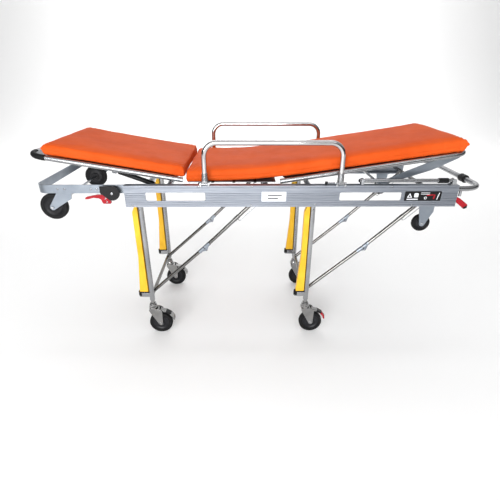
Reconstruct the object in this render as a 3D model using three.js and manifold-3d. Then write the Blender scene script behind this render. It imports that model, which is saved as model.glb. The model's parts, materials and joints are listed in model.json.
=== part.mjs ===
// Ambulance cot with folding legs: a bed of three sections on two aluminium side beams,
// two leg pairs that fold towards the handle end, folding braces, castors and loading wheels.
// Millimetres. +Z is up, -X is the head (loading) end, +X the foot (handle) end,
// -Y the left side and +Y the right side. The origin is on the floor, under the middle.
import * as THREE from 'three';
import { mergeVertices } from 'three/addons/utils/BufferGeometryUtils.js';
import Module from 'manifold-3d';

const wasm = await Module();
wasm.setup();

// ---------- driving dimensions ----------
const GAP = 0.3;

// side beams: C channels, open towards the middle
const BEAM_HEAD_X = -584;
const BEAM_FOOT_X = 826;
const BEAM_BOTTOM = 696;
const BEAM_TOP = 789;
const BEAM_OUTER_Y = 294;
const BEAM_INNER_Y = 264;
const BEAM_WALL = 4;
const BEAM_FLANGE = 5.5;
const WINDOWS = [[-496, -245], [323, 586]];
const WINDOW_BOTTOM = 723;
const WINDOW_TOP = 759;
const CHANNEL_Y = BEAM_OUTER_Y - BEAM_WALL - 1;

// leg pairs
const PIVOT_Z = 728;
const LEG_PAIRS = { front: -540, rear: 224 };
const LEG_Y = 236;
const LEG_RADIUS = 12.5;
const LEG_BOTTOM = 190;
const FOOT_REACH = 62;
const FOOT_BOTTOM = 213;
const FOOT_TOP = 236;

// folding braces: a strut locked slightly past straight, its knee pin beside the tube
const BRACE_Y = 188;
const BRACE_RADIUS = 8.5;
const BRACE_FOOT_Z = 213;
const BRACE_REACH = 548;
const KNEE_DROP = 8;
const KNEE_OFFSET = 14;
const FOLD_MARGIN = BRACE_REACH - (PIVOT_Z - BRACE_FOOT_Z);

// castors
const CASTOR_RADIUS = 58;
const CASTOR_WIDTH = 28;
const CASTOR_TRAIL = 32;
const AXLE_RADIUS = 4;

// loading wheels and tail wheels
const LOADING_X = -904;
const LOADING_Z = 688;
const LOADING_RADIUS = 58;
const LOADING_Y = 253;
const LOADING_WIDTH = 26;
const TAIL_X = 702;
const TAIL_Z = 615;
const TAIL_RADIUS = 39;
const TAIL_Y = 272;
const TAIL_WIDTH = 24;

// loading frame and handle
const LOADING_FRAME_TIP = -960;
const LOADING_FRAME_Y = 273;
const LOADING_FRAME_THICK = 6;
const LOADING_FRAME_BOTTOM = 750.5;
const LOADING_FRAME_TOP = 787;
const TONGUE_TOP = 782.5;
const HANDLE_TIP = 955;
const HANDLE_Z = 771;
const HANDLE_Y = 278.5;
const HANDLE_RADIUS = 11;
const HANDLE_BEND = 85;
const HANDLE_START = 725;
const COLLAR_Y = -108;
const COLLAR_RADIUS = 18;

// bed sections
const BACK_HINGE = [-335, 800];
const BACK_ANGLE = 9.5;
const BACK_LENGTH = 640;
const BACK_BEND = 56;
const LEG_HINGE = [66, 794];
const LEG_ANGLE = 8.6;
const LEG_LENGTH = 794;
const LEG_BEND = 50;
const RAIL_Y = 249;
const RAIL_RADIUS = 10.5;
const BACK_PAD = 43;
const SEAT_PAD = 50;
const PAD_Y = 257;
const GAS_Y = -150;

// side guards
const GUARD_X = [-245, 323];
const GUARD_Y = 281;
const GUARD_RADIUS = 11;
const GUARD_TOP = 961;
const GUARD_BEND = 54;
const GUARD_HINGE_Y = 297;
const GUARD_HINGE_Z = 797;

// ---------- materials ----------
const aluminium = new THREE.MeshStandardMaterial({ color: 0xaab0b6, roughness: 0.4, metalness: 1 });
const steel = new THREE.MeshStandardMaterial({ color: 0xc8ccd0, roughness: 0.2, metalness: 1 });
const rubber = new THREE.MeshStandardMaterial({ color: 0x1b1b1d, roughness: 0.85, metalness: 0 });
const blackPlastic = new THREE.MeshStandardMaterial({ color: 0x17181a, roughness: 0.55, metalness: 0 });
const redPlastic = new THREE.MeshStandardMaterial({ color: 0xb3202c, roughness: 0.45, metalness: 0 });
const yellowPlastic = new THREE.MeshStandardMaterial({ color: 0xf6cf3c, roughness: 0.5, metalness: 0 });
const vinyl = new THREE.MeshStandardMaterial({ color: 0xd85a2c, roughness: 0.45, metalness: 0 });

// ---------- geometry helpers ----------
const radians = THREE.MathUtils.degToRad;

/** Signed volume of an indexed triangle mesh, negative when its faces point inwards. */
function signedVolume(geometry) {
  const position = geometry.attributes.position;
  const index = geometry.index.array;
  const a = new THREE.Vector3();
  const b = new THREE.Vector3();
  const c = new THREE.Vector3();
  let total = 0;
  for (let i = 0; i < index.length; i += 3) {
    a.fromBufferAttribute(position, index[i]);
    b.fromBufferAttribute(position, index[i + 1]);
    c.fromBufferAttribute(position, index[i + 2]);
    total += a.dot(b.cross(c)) / 6;
  }
  return total;
}

/** Merges shared vertices, drops empty triangles and turns the faces outwards. */
function closed(geometry) {
  geometry.deleteAttribute('normal');
  geometry.deleteAttribute('uv');
  const merged = mergeVertices(geometry, 1e-3);
  const source = merged.index.array;
  const kept = [];
  for (let i = 0; i < source.length; i += 3) {
    const [a, b, c] = [source[i], source[i + 1], source[i + 2]];
    if (a !== b && b !== c && c !== a) kept.push(a, b, c);
  }
  merged.setIndex(kept);
  if (signedVolume(merged) < 0) merged.setIndex(kept.reverse());
  return merged;
}

function toSolid(geometry) {
  const merged = closed(geometry);
  const vertProperties = new Float32Array(merged.attributes.position.array);
  const triVerts = new Uint32Array(merged.index.array);
  return new wasm.Manifold(new wasm.Mesh({ numProp: 3, vertProperties, triVerts }));
}

function toGeometry(solid) {
  const mesh = solid.getMesh();
  const geometry = new THREE.BufferGeometry();
  geometry.setAttribute('position', new THREE.BufferAttribute(new Float32Array(mesh.vertProperties), 3));
  geometry.setIndex(new THREE.BufferAttribute(new Uint32Array(mesh.triVerts), 1));
  return geometry;
}

/** One solid made of overlapping pieces. */
function join(...pieces) {
  return toGeometry(pieces.map(toSolid).reduce((sum, piece) => sum.add(piece)));
}

function cut(body, ...tools) {
  return toGeometry(tools.map(toSolid).reduce((rest, tool) => rest.subtract(tool), toSolid(body)));
}

function box([x0, y0, z0], [x1, y1, z1]) {
  const geometry = new THREE.BoxGeometry(x1 - x0, Math.abs(y1 - y0), z1 - z0);
  return geometry.translate((x0 + x1) / 2, (y0 + y1) / 2, (z0 + z1) / 2);
}

/** Round bar from one point to another; the far end may have its own radius. */
function rod(from, to, radius, sides = 14, farRadius = radius) {
  const start = new THREE.Vector3(...from);
  const end = new THREE.Vector3(...to);
  const geometry = new THREE.CylinderGeometry(farRadius, radius, start.distanceTo(end), sides);
  const direction = end.clone().sub(start).normalize();
  const turn = new THREE.Quaternion().setFromUnitVectors(new THREE.Vector3(0, 1, 0), direction);
  geometry.applyQuaternion(turn);
  const middle = start.add(end).multiplyScalar(0.5);
  return geometry.translate(middle.x, middle.y, middle.z);
}

/** Pin along Y through a point of the XZ plane. */
function crossRod(x, z, y0, y1, radius, sides = 14) {
  return rod([x, y0, z], [x, y1, z], radius, sides);
}

function outline(points) {
  return new THREE.Shape(points.map(([x, y]) => new THREE.Vector2(x, y)));
}

/** Outline drawn in the XZ plane, extruded between two Y values. */
function sidePlate(shape, y0, y1, curveSegments = 6) {
  const depth = Math.abs(y1 - y0);
  const geometry = new THREE.ExtrudeGeometry(shape, { depth, bevelEnabled: false, curveSegments });
  return geometry.rotateX(Math.PI / 2).translate(0, Math.max(y0, y1), 0);
}

/** Outline drawn in the XY plane, extruded between two heights. */
function slab(shape, z0, z1, curveSegments = 6) {
  const options = { depth: z1 - z0, bevelEnabled: false, curveSegments };
  return new THREE.ExtrudeGeometry(shape, options).translate(0, 0, z0);
}

function roundedRect(x0, z0, x1, z1, radius, Path = THREE.Shape) {
  const path = new Path();
  path.moveTo(x0 + radius, z0);
  path.lineTo(x1 - radius, z0);
  path.absarc(x1 - radius, z0 + radius, radius, -Math.PI / 2, 0);
  path.lineTo(x1, z1 - radius);
  path.absarc(x1 - radius, z1 - radius, radius, 0, Math.PI / 2);
  path.lineTo(x0 + radius, z1);
  path.absarc(x0 + radius, z1 - radius, radius, Math.PI / 2, Math.PI);
  path.lineTo(x0, z0 + radius);
  path.absarc(x0 + radius, z0 + radius, radius, Math.PI, Math.PI * 1.5);
  return path;
}

/** Belt outline round two circles, each given as [x, y, radius]. */
function beltOutline([x0, y0, r0], [x1, y1, r1]) {
  const heading = Math.atan2(y1 - y0, x1 - x0);
  const lean = Math.acos((r0 - r1) / Math.hypot(x1 - x0, y1 - y0));
  const shape = new THREE.Shape();
  shape.absarc(x1, y1, r1, heading - lean, heading + lean);
  shape.absarc(x0, y0, r0, heading + lean, heading - lean + 2 * Math.PI);
  return shape;
}

/** Route of a bent tube: it passes through exactly the stations it is given. */
class TubeRoute extends THREE.Curve {
  constructor(stations) {
    super();
    this.stations = stations;
  }

  getPoint(t, target = new THREE.Vector3()) {
    const last = this.stations.length - 1;
    const low = Math.min(Math.floor(t * last), last - 1);
    return target.lerpVectors(this.stations[low], this.stations[low + 1], t * last - low);
  }

  getSpacedPoints() {
    return this.stations;
  }

  getTangentAt(u, target = new THREE.Vector3()) {
    const last = this.stations.length - 1;
    const i = Math.round(u * last);
    const before = this.stations[Math.max(i - 1, 0)];
    const after = this.stations[Math.min(i + 1, last)];
    return target.subVectors(after, before).normalize();
  }
}

/** Stations along straight runs between corners, each corner rounded to the bend radius. */
function bentStations(corners, bend, stepsPerBend) {
  const points = corners.map((corner) => new THREE.Vector3(...corner));
  const stations = [points[0]];
  for (let i = 1; i < points.length - 1; i += 1) {
    const back = points[i - 1].clone().sub(points[i]).normalize();
    const ahead = points[i + 1].clone().sub(points[i]).normalize();
    const half = back.angleTo(ahead) / 2;
    const reach = bend / Math.tan(half);
    const centre = back.clone().add(ahead).normalize().multiplyScalar(bend / Math.sin(half)).add(points[i]);
    const start = points[i].clone().addScaledVector(back, reach).sub(centre);
    const end = points[i].clone().addScaledVector(ahead, reach).sub(centre);
    const axis = start.clone().cross(end).normalize();
    for (let step = 0; step <= stepsPerBend; step += 1) {
      const angle = ((Math.PI - 2 * half) * step) / stepsPerBend;
      stations.push(start.clone().applyAxisAngle(axis, angle).add(centre));
    }
  }
  stations.push(points[points.length - 1]);
  return stations;
}

function bentTube(corners, bend, radius, sides = 12, stepsPerBend = 5) {
  const stations = bentStations(corners, bend, stepsPerBend);
  const ring = new THREE.Shape();
  ring.absarc(0, 0, radius, 0, 2 * Math.PI);
  const options = {
    steps: stations.length - 1,
    curveSegments: sides / 2,
    extrudePath: new TubeRoute(stations),
  };
  return new THREE.ExtrudeGeometry(ring, options);
}

/** Solid of revolution about a Y axis; the [radius, y] profile closes on itself. */
function turned(profile, segments) {
  const points = [...profile, profile[0]].map(([r, y]) => new THREE.Vector2(r, y));
  return new THREE.LatheGeometry(points, segments);
}

/** Wheel about a Y axis: rounded tyre, thinner web and a hub with a bore. */
function wheel(radius, width, bore) {
  const half = width / 2;
  const hub = bore + 8;
  return turned([
    [bore, -half],
    [hub, -half],
    [hub + 3, -half + 5],
    [radius - 16, -half + 4],
    [radius - 9, -half],
    [radius, -half + 9],
    [radius, half - 9],
    [radius - 9, half],
    [radius - 16, half - 4],
    [hub + 3, half - 5],
    [hub, half],
    [bore, half],
  ], 20);
}

const cot = new THREE.Group();

function add(parent, name, geometry, material) {
  const mesh = new THREE.Mesh(closed(geometry), material);
  mesh.name = name;
  parent.add(mesh);
  return mesh;
}

const SIDES = { left: -1, right: 1 };

// ---------- side beams ----------
/** Cheeks that carry the hinge of one side-guard foot. */
function guardCheeks(side, x) {
  return [-17, 17].map((offset) =>
    box([x + offset - 4, side * 290, BEAM_TOP - 3], [x + offset + 4, side * 303, GUARD_HINGE_Z + 7]));
}

function sideBeam(side) {
  const web = roundedRect(BEAM_HEAD_X, BEAM_BOTTOM, BEAM_FOOT_X, BEAM_TOP, 2);
  WINDOWS.forEach(([x0, x1]) => {
    web.holes.push(roundedRect(x0, WINDOW_BOTTOM, x1, WINDOW_TOP, 7, THREE.Path));
  });
  const plate = sidePlate(web, side * (BEAM_OUTER_Y - BEAM_WALL), side * BEAM_OUTER_Y, 3);
  const inner = side * BEAM_INNER_Y;
  const outer = side * (BEAM_OUTER_Y - 1);
  const top = box([BEAM_HEAD_X + 1, inner, BEAM_TOP - BEAM_FLANGE], [BEAM_FOOT_X - 1, outer, BEAM_TOP]);
  const bottom = box([BEAM_HEAD_X + 1, inner, BEAM_BOTTOM], [BEAM_FOOT_X - 1, outer, BEAM_BOTTOM + BEAM_FLANGE]);
  const cheeks = GUARD_X.flatMap((x) => guardCheeks(side, x));
  return join(plate, top, bottom, ...cheeks);
}

Object.entries(SIDES).forEach(([name, side]) => {
  add(cot, `${name}_side_beam`, sideBeam(side), aluminium);
});

// ---------- loading frame, its wheels and the leg release levers ----------
/** Flat bar bent into a U; its open ends are cut down to tongues that enter the beams. */
function loadingFrame() {
  const corner = 46;
  const inner = LOADING_FRAME_Y - LOADING_FRAME_THICK;
  const tip = LOADING_FRAME_TIP;
  const open = -500;
  const bar = new THREE.Shape();
  bar.moveTo(open, -LOADING_FRAME_Y);
  bar.lineTo(open, -inner);
  bar.absarc(tip + corner, -inner + corner - LOADING_FRAME_THICK, corner - LOADING_FRAME_THICK,
    Math.PI * 1.5, Math.PI, true);
  bar.absarc(tip + corner, inner - corner + LOADING_FRAME_THICK, corner - LOADING_FRAME_THICK,
    Math.PI, Math.PI / 2, true);
  bar.lineTo(open, inner);
  bar.lineTo(open, LOADING_FRAME_Y);
  bar.absarc(tip + corner, LOADING_FRAME_Y - corner, corner, Math.PI / 2, Math.PI);
  bar.absarc(tip + corner, corner - LOADING_FRAME_Y, corner, Math.PI, Math.PI * 1.5);
  const full = slab(bar, LOADING_FRAME_BOTTOM, LOADING_FRAME_TOP, 5);
  const relief = [BEAM_HEAD_X - 1, -LOADING_FRAME_Y - 1, TONGUE_TOP];
  return cut(full, box(relief, [open + 1, LOADING_FRAME_Y + 1, LOADING_FRAME_TOP + 1]));
}

/** Plate that hangs a loading wheel under the frame. */
function loadingBracket(side) {
  const plate = new THREE.Shape();
  plate.moveTo(-877, LOADING_FRAME_BOTTOM - GAP);
  plate.lineTo(LOADING_X - 11, LOADING_Z + 6);
  plate.absarc(LOADING_X, LOADING_Z, 13, Math.PI * 0.85, Math.PI * 1.72);
  plate.lineTo(-817, 726);
  plate.lineTo(-812, LOADING_FRAME_BOTTOM - GAP);
  const blank = sidePlate(plate, side * (LOADING_FRAME_Y - 5), side * (LOADING_FRAME_Y - 1), 5);
  return cut(blank, crossRod(LOADING_X, LOADING_Z, side * 260, side * 290, AXLE_RADIUS + 2 + GAP));
}

/** Half-moon cover over the release shaft where the frame enters the beam. */
function lockCover(side) {
  const cover = new THREE.Shape();
  cover.moveTo(-682, 786);
  cover.lineTo(-682, 757);
  cover.lineTo(-655, 735);
  cover.absarc(-634, 757, 31, -Math.PI * 0.72, Math.PI * 0.42);
  cover.lineTo(-640, 787);
  return sidePlate(cover, side * 286, side * 298, 8);
}

/** Red lever below the cover: a long finger tab and a short striker. */
function lockLever(side) {
  const lever = outline([
    [-754, 728], [-748, 738], [-703, 747], [-668, 744], [-646, 716], [-650, 708], [-682, 708],
    [-690, 731], [-715, 734],
  ]);
  return sidePlate(lever, side * 276, side * 285);
}

const axle = crossRod(LOADING_X, LOADING_Z, -280, 280, AXLE_RADIUS + 2);
add(cot, 'loading_frame', loadingFrame(), aluminium);
add(cot, 'loading_wheel_axle', axle, steel);
Object.entries(SIDES).forEach(([name, side]) => {
  add(cot, `${name}_loading_bracket`, loadingBracket(side), aluminium);
  const loadingWheel = wheel(LOADING_RADIUS, LOADING_WIDTH, AXLE_RADIUS + 2.6);
  add(cot, `${name}_loading_wheel`, loadingWheel, rubber).position.set(LOADING_X, side * LOADING_Y, LOADING_Z);
  add(cot, `${name}_lock_cover`, lockCover(side), blackPlastic);
  add(cot, `${name}_lock_lever`, lockLever(side), redPlastic);
});

// ---------- rear handle, tail wheels and the foot-end release ----------
function rearHandle() {
  const tip = HANDLE_TIP - HANDLE_RADIUS;
  const loop = bentTube([
    [HANDLE_START, -HANDLE_Y, HANDLE_Z],
    [tip, -HANDLE_Y, HANDLE_Z],
    [tip, HANDLE_Y, HANDLE_Z],
    [HANDLE_START, HANDLE_Y, HANDLE_Z],
  ], HANDLE_BEND, HANDLE_RADIUS, 12, 6);
  const post = rod([844, -HANDLE_Y, HANDLE_Z], [844, -HANDLE_Y, 738], 6, 10);
  return join(loop, post);
}

/** Black clamp collar round the cross tube of the handle. */
function handleCollar() {
  const inner = HANDLE_RADIUS + GAP;
  const sleeve = turned([[inner, -23], [COLLAR_RADIUS, -23], [COLLAR_RADIUS, 23], [inner, 23]], 16);
  return sleeve.translate(HANDLE_TIP - HANDLE_RADIUS, COLLAR_Y, HANDLE_Z);
}

/** Plate under the beam end that carries one tail wheel. */
function tailBracket(side) {
  const plate = new THREE.Shape();
  plate.moveTo(TAIL_X - 27, BEAM_BOTTOM - GAP);
  plate.lineTo(TAIL_X - 13, TAIL_Z - 3);
  plate.absarc(TAIL_X, TAIL_Z, 12, Math.PI, Math.PI * 2);
  plate.lineTo(TAIL_X + 39, BEAM_BOTTOM - 26);
  plate.lineTo(TAIL_X + 39, BEAM_BOTTOM - GAP);
  const cheek = sidePlate(plate, side * 286.5, side * 290.5, 5);
  const foot = box([TAIL_X - 27, side * 266, BEAM_BOTTOM - 4.3], [TAIL_X + 39, side * 290, BEAM_BOTTOM - GAP]);
  const pin = crossRod(TAIL_X, TAIL_Z, side * 259, side * 292, AXLE_RADIUS);
  return join(cheek, foot, pin);
}

/** Red paddle that folds the rear legs when it is pressed. */
function footLever() {
  const paddle = outline([
    [820, 721], [819, 733], [829, 737], [850, 727], [886, 701], [884, 686], [873, 682], [845, 703],
  ]);
  return sidePlate(paddle, -284, -270);
}

add(cot, 'rear_handle', rearHandle(), aluminium);
add(cot, 'handle_collar', handleCollar(), blackPlastic);
add(cot, 'foot_release_lever', footLever(), redPlastic);
Object.entries(SIDES).forEach(([name, side]) => {
  add(cot, `${name}_tail_bracket`, tailBracket(side), aluminium);
  const tailWheel = wheel(TAIL_RADIUS, TAIL_WIDTH, AXLE_RADIUS + 0.6);
  add(cot, `${name}_tail_wheel`, tailWheel, rubber).position.set(TAIL_X, side * TAIL_Y, TAIL_Z);
});

// ---------- drip pole, stowed along the left beam ----------
const POLE_PIVOT = [803, -278, 806];
const POLE_LENGTH = 399;
const POLE_RADIUS = 8;

function poleBracket() {
  const [x, y, z] = POLE_PIVOT;
  const base = box([x - 16, y - 14, BEAM_TOP + GAP], [x + 10, y + 14, BEAM_TOP + 4]);
  const cheeks = [-11, 11].map((offset) =>
    box([x - 8, y + offset - 2, BEAM_TOP + 2], [x + 8, y + offset + 2, z + 9]));
  return join(base, ...cheeks);
}

function dripPole() {
  const [x, y, z] = POLE_PIVOT;
  const tube = rod([x, y, z], [x - POLE_LENGTH, y, z], POLE_RADIUS, 12);
  const collar = rod([x - 24, y, z], [x - 65, y, z], POLE_RADIUS + 3, 12);
  return join(tube, collar, crossRod(x, z, y - 8.5, y + 8.5, 6));
}

add(cot, 'drip_pole_bracket', poleBracket(), steel);
add(cot, 'drip_pole', dripPole(), aluminium);

// ---------- bed sections ----------
/** U-shaped tube frame with a deck sheet, drawn flat with its hinge line at x = 0. */
function sectionFrame(length, heading, bend, barPlaces) {
  const tip = heading * length;
  const start = heading * 6;
  const rails = bentTube([[start, -RAIL_Y, 0], [tip, -RAIL_Y, 0], [tip, RAIL_Y, 0], [start, RAIL_Y, 0]],
    bend, RAIL_RADIUS, 12, 5);
  const [low, high] = [heading * 24, heading * (length - 3)].sort((a, b) => a - b);
  const deck = slab(roundedRect(low, 3 - RAIL_Y, high, RAIL_Y - 3, bend - 3), 3, 6, 4);
  const bars = barPlaces.map((place) =>
    box([heading * place - 10, -RAIL_Y, -6], [heading * place + 10, RAIL_Y, 4]));
  return join(rails, deck, ...bars);
}

/** Simple pad whose hinge-side end leans away from its neighbour. */
function pad(near, nearTop, far, bottom, top) {
  const lean = outline([[near, bottom], [far, bottom], [far, top], [nearTop, top]]);
  return sidePlate(lean, -PAD_Y, PAD_Y);
}

const backrest = new THREE.Group();
backrest.position.set(BACK_HINGE[0], 0, BACK_HINGE[1]);
backrest.rotation.y = radians(BACK_ANGLE);
cot.add(backrest);

/** Where the gas spring meets the backrest, in the backrest's own flat frame. */
const GAS_TOP = [-318.6, -35];
const clevis = [-10, 10].map((offset) => {
  const lug = outline([[GAS_TOP[0] - 22, 5], [GAS_TOP[0] - 10, -46], [GAS_TOP[0] + 10, -46], [GAS_TOP[0] + 22, 5]]);
  return sidePlate(lug, GAS_Y + offset - 2, GAS_Y + offset + 2);
});
const backFrame = sectionFrame(BACK_LENGTH, -1, BACK_BEND, [120, 318.6, 500]);
add(backrest, 'backrest_frame', join(backFrame, ...clevis), aluminium);
add(backrest, 'backrest_pad', pad(-10, -42, -(BACK_LENGTH - 52), 13, 13 + BACK_PAD), vinyl);

const legSection = new THREE.Group();
legSection.position.set(LEG_HINGE[0], 0, LEG_HINGE[1]);
legSection.rotation.y = -radians(LEG_ANGLE);
cot.add(legSection);
add(legSection, 'leg_section_frame', sectionFrame(LEG_LENGTH, 1, LEG_BEND, [160, 400, 640]), aluminium);
add(legSection, 'leg_section_pad', pad(10, 30, LEG_LENGTH, 14, 14 + SEAT_PAD), vinyl);

/** Fixed deck under the seat, carried by two bars that reach into the beams. */
function seatDeck() {
  const sheet = box([-322, -246, 790], [54, 246, 793]);
  const bars = [-270, 10].flatMap((x) => [
    box([x - 11, -CHANNEL_Y, 768], [x + 11, CHANNEL_Y, 781]),
    box([x - 8, -236, 779], [x + 8, 236, 791]),
  ]);
  return join(sheet, ...bars);
}

function seatPad() {
  const side = outline([[-316, 796], [58, 796], [58, 796 + SEAT_PAD], [-284, 796 + SEAT_PAD]]);
  return sidePlate(side, -PAD_Y, PAD_Y);
}

add(cot, 'seat_deck', seatDeck(), aluminium);
add(cot, 'seat_pad', seatPad(), vinyl);

// ---------- gas spring under the backrest ----------
const GAS_BOTTOM = [-430, 734];
const GAS_BAR = [-408, 771];
const GAS_BODY = 178;
const GAS_ROD_SHORT = 38.5;
const GAS_RADIUS = 11;
const gasTopWorld = new THREE.Vector3(GAS_TOP[0], 0, GAS_TOP[1]);
gasTopWorld.applyAxisAngle(new THREE.Vector3(0, 1, 0), radians(BACK_ANGLE));
gasTopWorld.add(backrest.position);
const gasSpan = Math.hypot(gasTopWorld.x - GAS_BOTTOM[0], gasTopWorld.z - GAS_BOTTOM[1]);
const gasLean = Math.atan2(gasTopWorld.z - GAS_BOTTOM[1], GAS_BOTTOM[0] - gasTopWorld.x);

/** Cross tube between the beams with the lower fork of the gas spring. */
function gasCrossbar() {
  const bar = crossRod(...GAS_BAR, -CHANNEL_Y, CHANNEL_Y, 9);
  const cheeks = [-10, 10].map((offset) =>
    sidePlate(beltOutline([...GAS_BAR, 12], [...GAS_BOTTOM, 9]), GAS_Y + offset - 2, GAS_Y + offset + 2));
  return join(bar, ...cheeks);
}

/** Drawn along -X from its lower eye, then leaned to its place. */
function gasRod() {
  const eye = crossRod(0, 0, -7.4, 7.4, 7);
  return join(eye, rod([0, 0, 0], [-(gasSpan - GAS_ROD_SHORT), 0, 0], 4, 10));
}

function gasCylinder() {
  const mouth = -(gasSpan - GAS_BODY);
  const closedEnd = -(gasSpan - 14);
  const bore = 4.6;
  const profile = [[bore, mouth], [GAS_RADIUS, mouth], [GAS_RADIUS, closedEnd], [bore, closedEnd]];
  const body = turned(profile, 14).rotateZ(Math.PI / 2).scale(-1, 1, 1);
  const cap = rod([closedEnd + 2, 0, 0], [closedEnd - 9, 0, 0], GAS_RADIUS - 3);
  return join(body, cap, crossRod(-gasSpan, 0, -7.4, 7.4, 9));
}

const gasSpring = new THREE.Group();
gasSpring.position.set(GAS_BOTTOM[0], GAS_Y, GAS_BOTTOM[1]);
gasSpring.rotation.y = gasLean;
cot.add(gasSpring);
add(cot, 'gas_spring_crossbar', gasCrossbar(), aluminium);
add(gasSpring, 'gas_spring_rod', gasRod(), steel);
add(gasSpring, 'gas_spring_cylinder', gasCylinder(), blackPlastic);

// ---------- prop under the leg section ----------
const PROP_PIVOT = [510, 776];
const PROP_LENGTH = 341;
const PROP_ANGLE = 20.4;
const PROP_Y = 222;
const PROP_SWELL = 18.5;
const PROP_SWELL_PLACE = 222;

/** Two blades, widest past their middle, on a shaft between the beams. */
function legProp() {
  const turn = new THREE.Matrix4().makeRotationY(-radians(PROP_ANGLE));
  const placed = (geometry) => geometry.applyMatrix4(turn).translate(PROP_PIVOT[0], 0, PROP_PIVOT[1]);
  const blade = new THREE.Shape();
  blade.absarc(0, 0, 8, Math.PI / 2, Math.PI * 1.5);
  blade.lineTo(PROP_SWELL_PLACE, -PROP_SWELL);
  blade.absarc(PROP_LENGTH, 0, 7, -Math.PI / 2, Math.PI / 2);
  blade.lineTo(PROP_SWELL_PLACE, PROP_SWELL);
  const blades = [-1, 1].map((side) => sidePlate(blade, side * (PROP_Y - 3), side * (PROP_Y + 3), 5));
  const tipRod = crossRod(PROP_LENGTH, 0, -PROP_Y, PROP_Y, 5);
  return placed(join(...blades, tipRod, crossRod(0, 0, -CHANNEL_Y, CHANNEL_Y, 6)));
}

add(cot, 'leg_prop', legProp(), aluminium);

// ---------- side guards ----------
/** Bent tube rail with two tapered feet, each on a knuckle outboard of the tube. */
function sideGuard(side) {
  const y = side * GUARD_Y;
  const foot = GUARD_HINGE_Z + 8;
  const [front, rear] = GUARD_X;
  const rail = bentTube([[front, y, foot], [front, y, GUARD_TOP], [rear, y, GUARD_TOP], [rear, y, foot]],
    GUARD_BEND, GUARD_RADIUS, 12, 6);
  const feet = GUARD_X.flatMap((x) => [
    rod([x, y, foot - 5], [x, y, foot + 34], 15, 12, 12),
    box([x - 11, y - side * 8, GUARD_HINGE_Z - 3], [x + 11, side * GUARD_HINGE_Y, foot + 3]),
    rod([x - 12.4, side * GUARD_HINGE_Y, GUARD_HINGE_Z], [x + 12.4, side * GUARD_HINGE_Y, GUARD_HINGE_Z], 5.5, 12),
  ]);
  return join(rail, ...feet);
}

/** Spring bolt that locks the rear foot of a guard. */
function guardLatch(side) {
  const place = [GUARD_X[1] - 22, side * GUARD_Y, GUARD_HINGE_Z - 0.3];
  const [x, y, z] = place;
  return join(rod([x, y, z], [x - 34, y, z], 4, 10), rod([x - 32, y, z], [x - 42, y, z], 7, 12));
}

Object.entries(SIDES).forEach(([name, side]) => {
  add(cot, `${name}_side_guard`, sideGuard(side), aluminium);
  add(cot, `${name}_guard_latch`, guardLatch(side), steel);
});

// ---------- leg pairs ----------
/** Two legs welded to the pivot tube that joins them, each with a forward foot plate. */
function legFrame(x) {
  const pivot = crossRod(x, PIVOT_Z, -CHANNEL_Y, CHANNEL_Y, 13);
  const legs = [-1, 1].flatMap((side) => {
    const y = side * LEG_Y;
    const plate = beltOutline([x - FOOT_REACH + 12, y, 12], [x, y, 12.01]);
    return [rod([x, y, LEG_BOTTOM], [x, y, PIVOT_Z], LEG_RADIUS), slab(plate, FOOT_BOTTOM, FOOT_TOP)];
  });
  return join(pivot, ...legs);
}

/** Yellow guard on the front of a leg: narrow at the top, full at the foot. */
function legGuard(x, side) {
  const back = x - LEG_RADIUS - GAP;
  const shape = outline([
    [back, 690], [back - 8, 690], [back - 24, 652], [back - 25, 430], [back - 41, 243], [back, 243],
  ]);
  return sidePlate(shape, side * (LEG_Y - 12.4), side * (LEG_Y + 12.4));
}

// ---------- folding braces ----------
const BRACE_RISE = PIVOT_Z - BRACE_FOOT_Z;
const BRACE_TOTAL = Math.hypot(BRACE_REACH, BRACE_RISE);
const LOWER_BRACE = (BRACE_TOTAL - FOLD_MARGIN) / 2;
const UPPER_BRACE = BRACE_TOTAL - LOWER_BRACE;
const STRAIGHT_LEAN = Math.atan2(BRACE_RISE, BRACE_REACH);
const LOWER_LEAN = STRAIGHT_LEAN - KNEE_DROP / LOWER_BRACE;
const UPPER_LEAN = STRAIGHT_LEAN + KNEE_DROP / UPPER_BRACE;

/** Point at a distance up the lower brace of the leg pair at x, and off to its lower side. */
function onLower(x, distance, aside = 0) {
  const [alongX, alongZ] = [Math.cos(LOWER_LEAN), Math.sin(LOWER_LEAN)];
  return [x + distance * alongX + aside * alongZ, BRACE_FOOT_Z + distance * alongZ - aside * alongX];
}

/** Point at a distance down the upper brace, from its pivot between the beams. */
function onUpper(x, distance) {
  return [
    x + BRACE_REACH - distance * Math.cos(UPPER_LEAN),
    PIVOT_Z - distance * Math.sin(UPPER_LEAN),
  ];
}

/** Ear from a point on a tube out to the knee pin. */
function kneeEar(x, root, y0, y1) {
  const pin = onLower(x, LOWER_BRACE, KNEE_OFFSET);
  return sidePlate(beltOutline([...pin, 5], [...root, 6]), y0, y1, 5);
}

function lowerBrace(x) {
  const crossbar = crossRod(x, BRACE_FOOT_Z, -221.5, 221.5, BRACE_RADIUS);
  const arms = [-1, 1].flatMap((side) => {
    const y = side * BRACE_Y;
    const [endX, endZ] = onLower(x, LOWER_BRACE - 1);
    return [
      rod([x, y, BRACE_FOOT_Z], [endX, y, endZ], BRACE_RADIUS, 12),
      kneeEar(x, onLower(x, LOWER_BRACE - 22), y - 5.2, y + 5.2),
    ];
  });
  return join(crossbar, ...arms);
}

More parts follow.
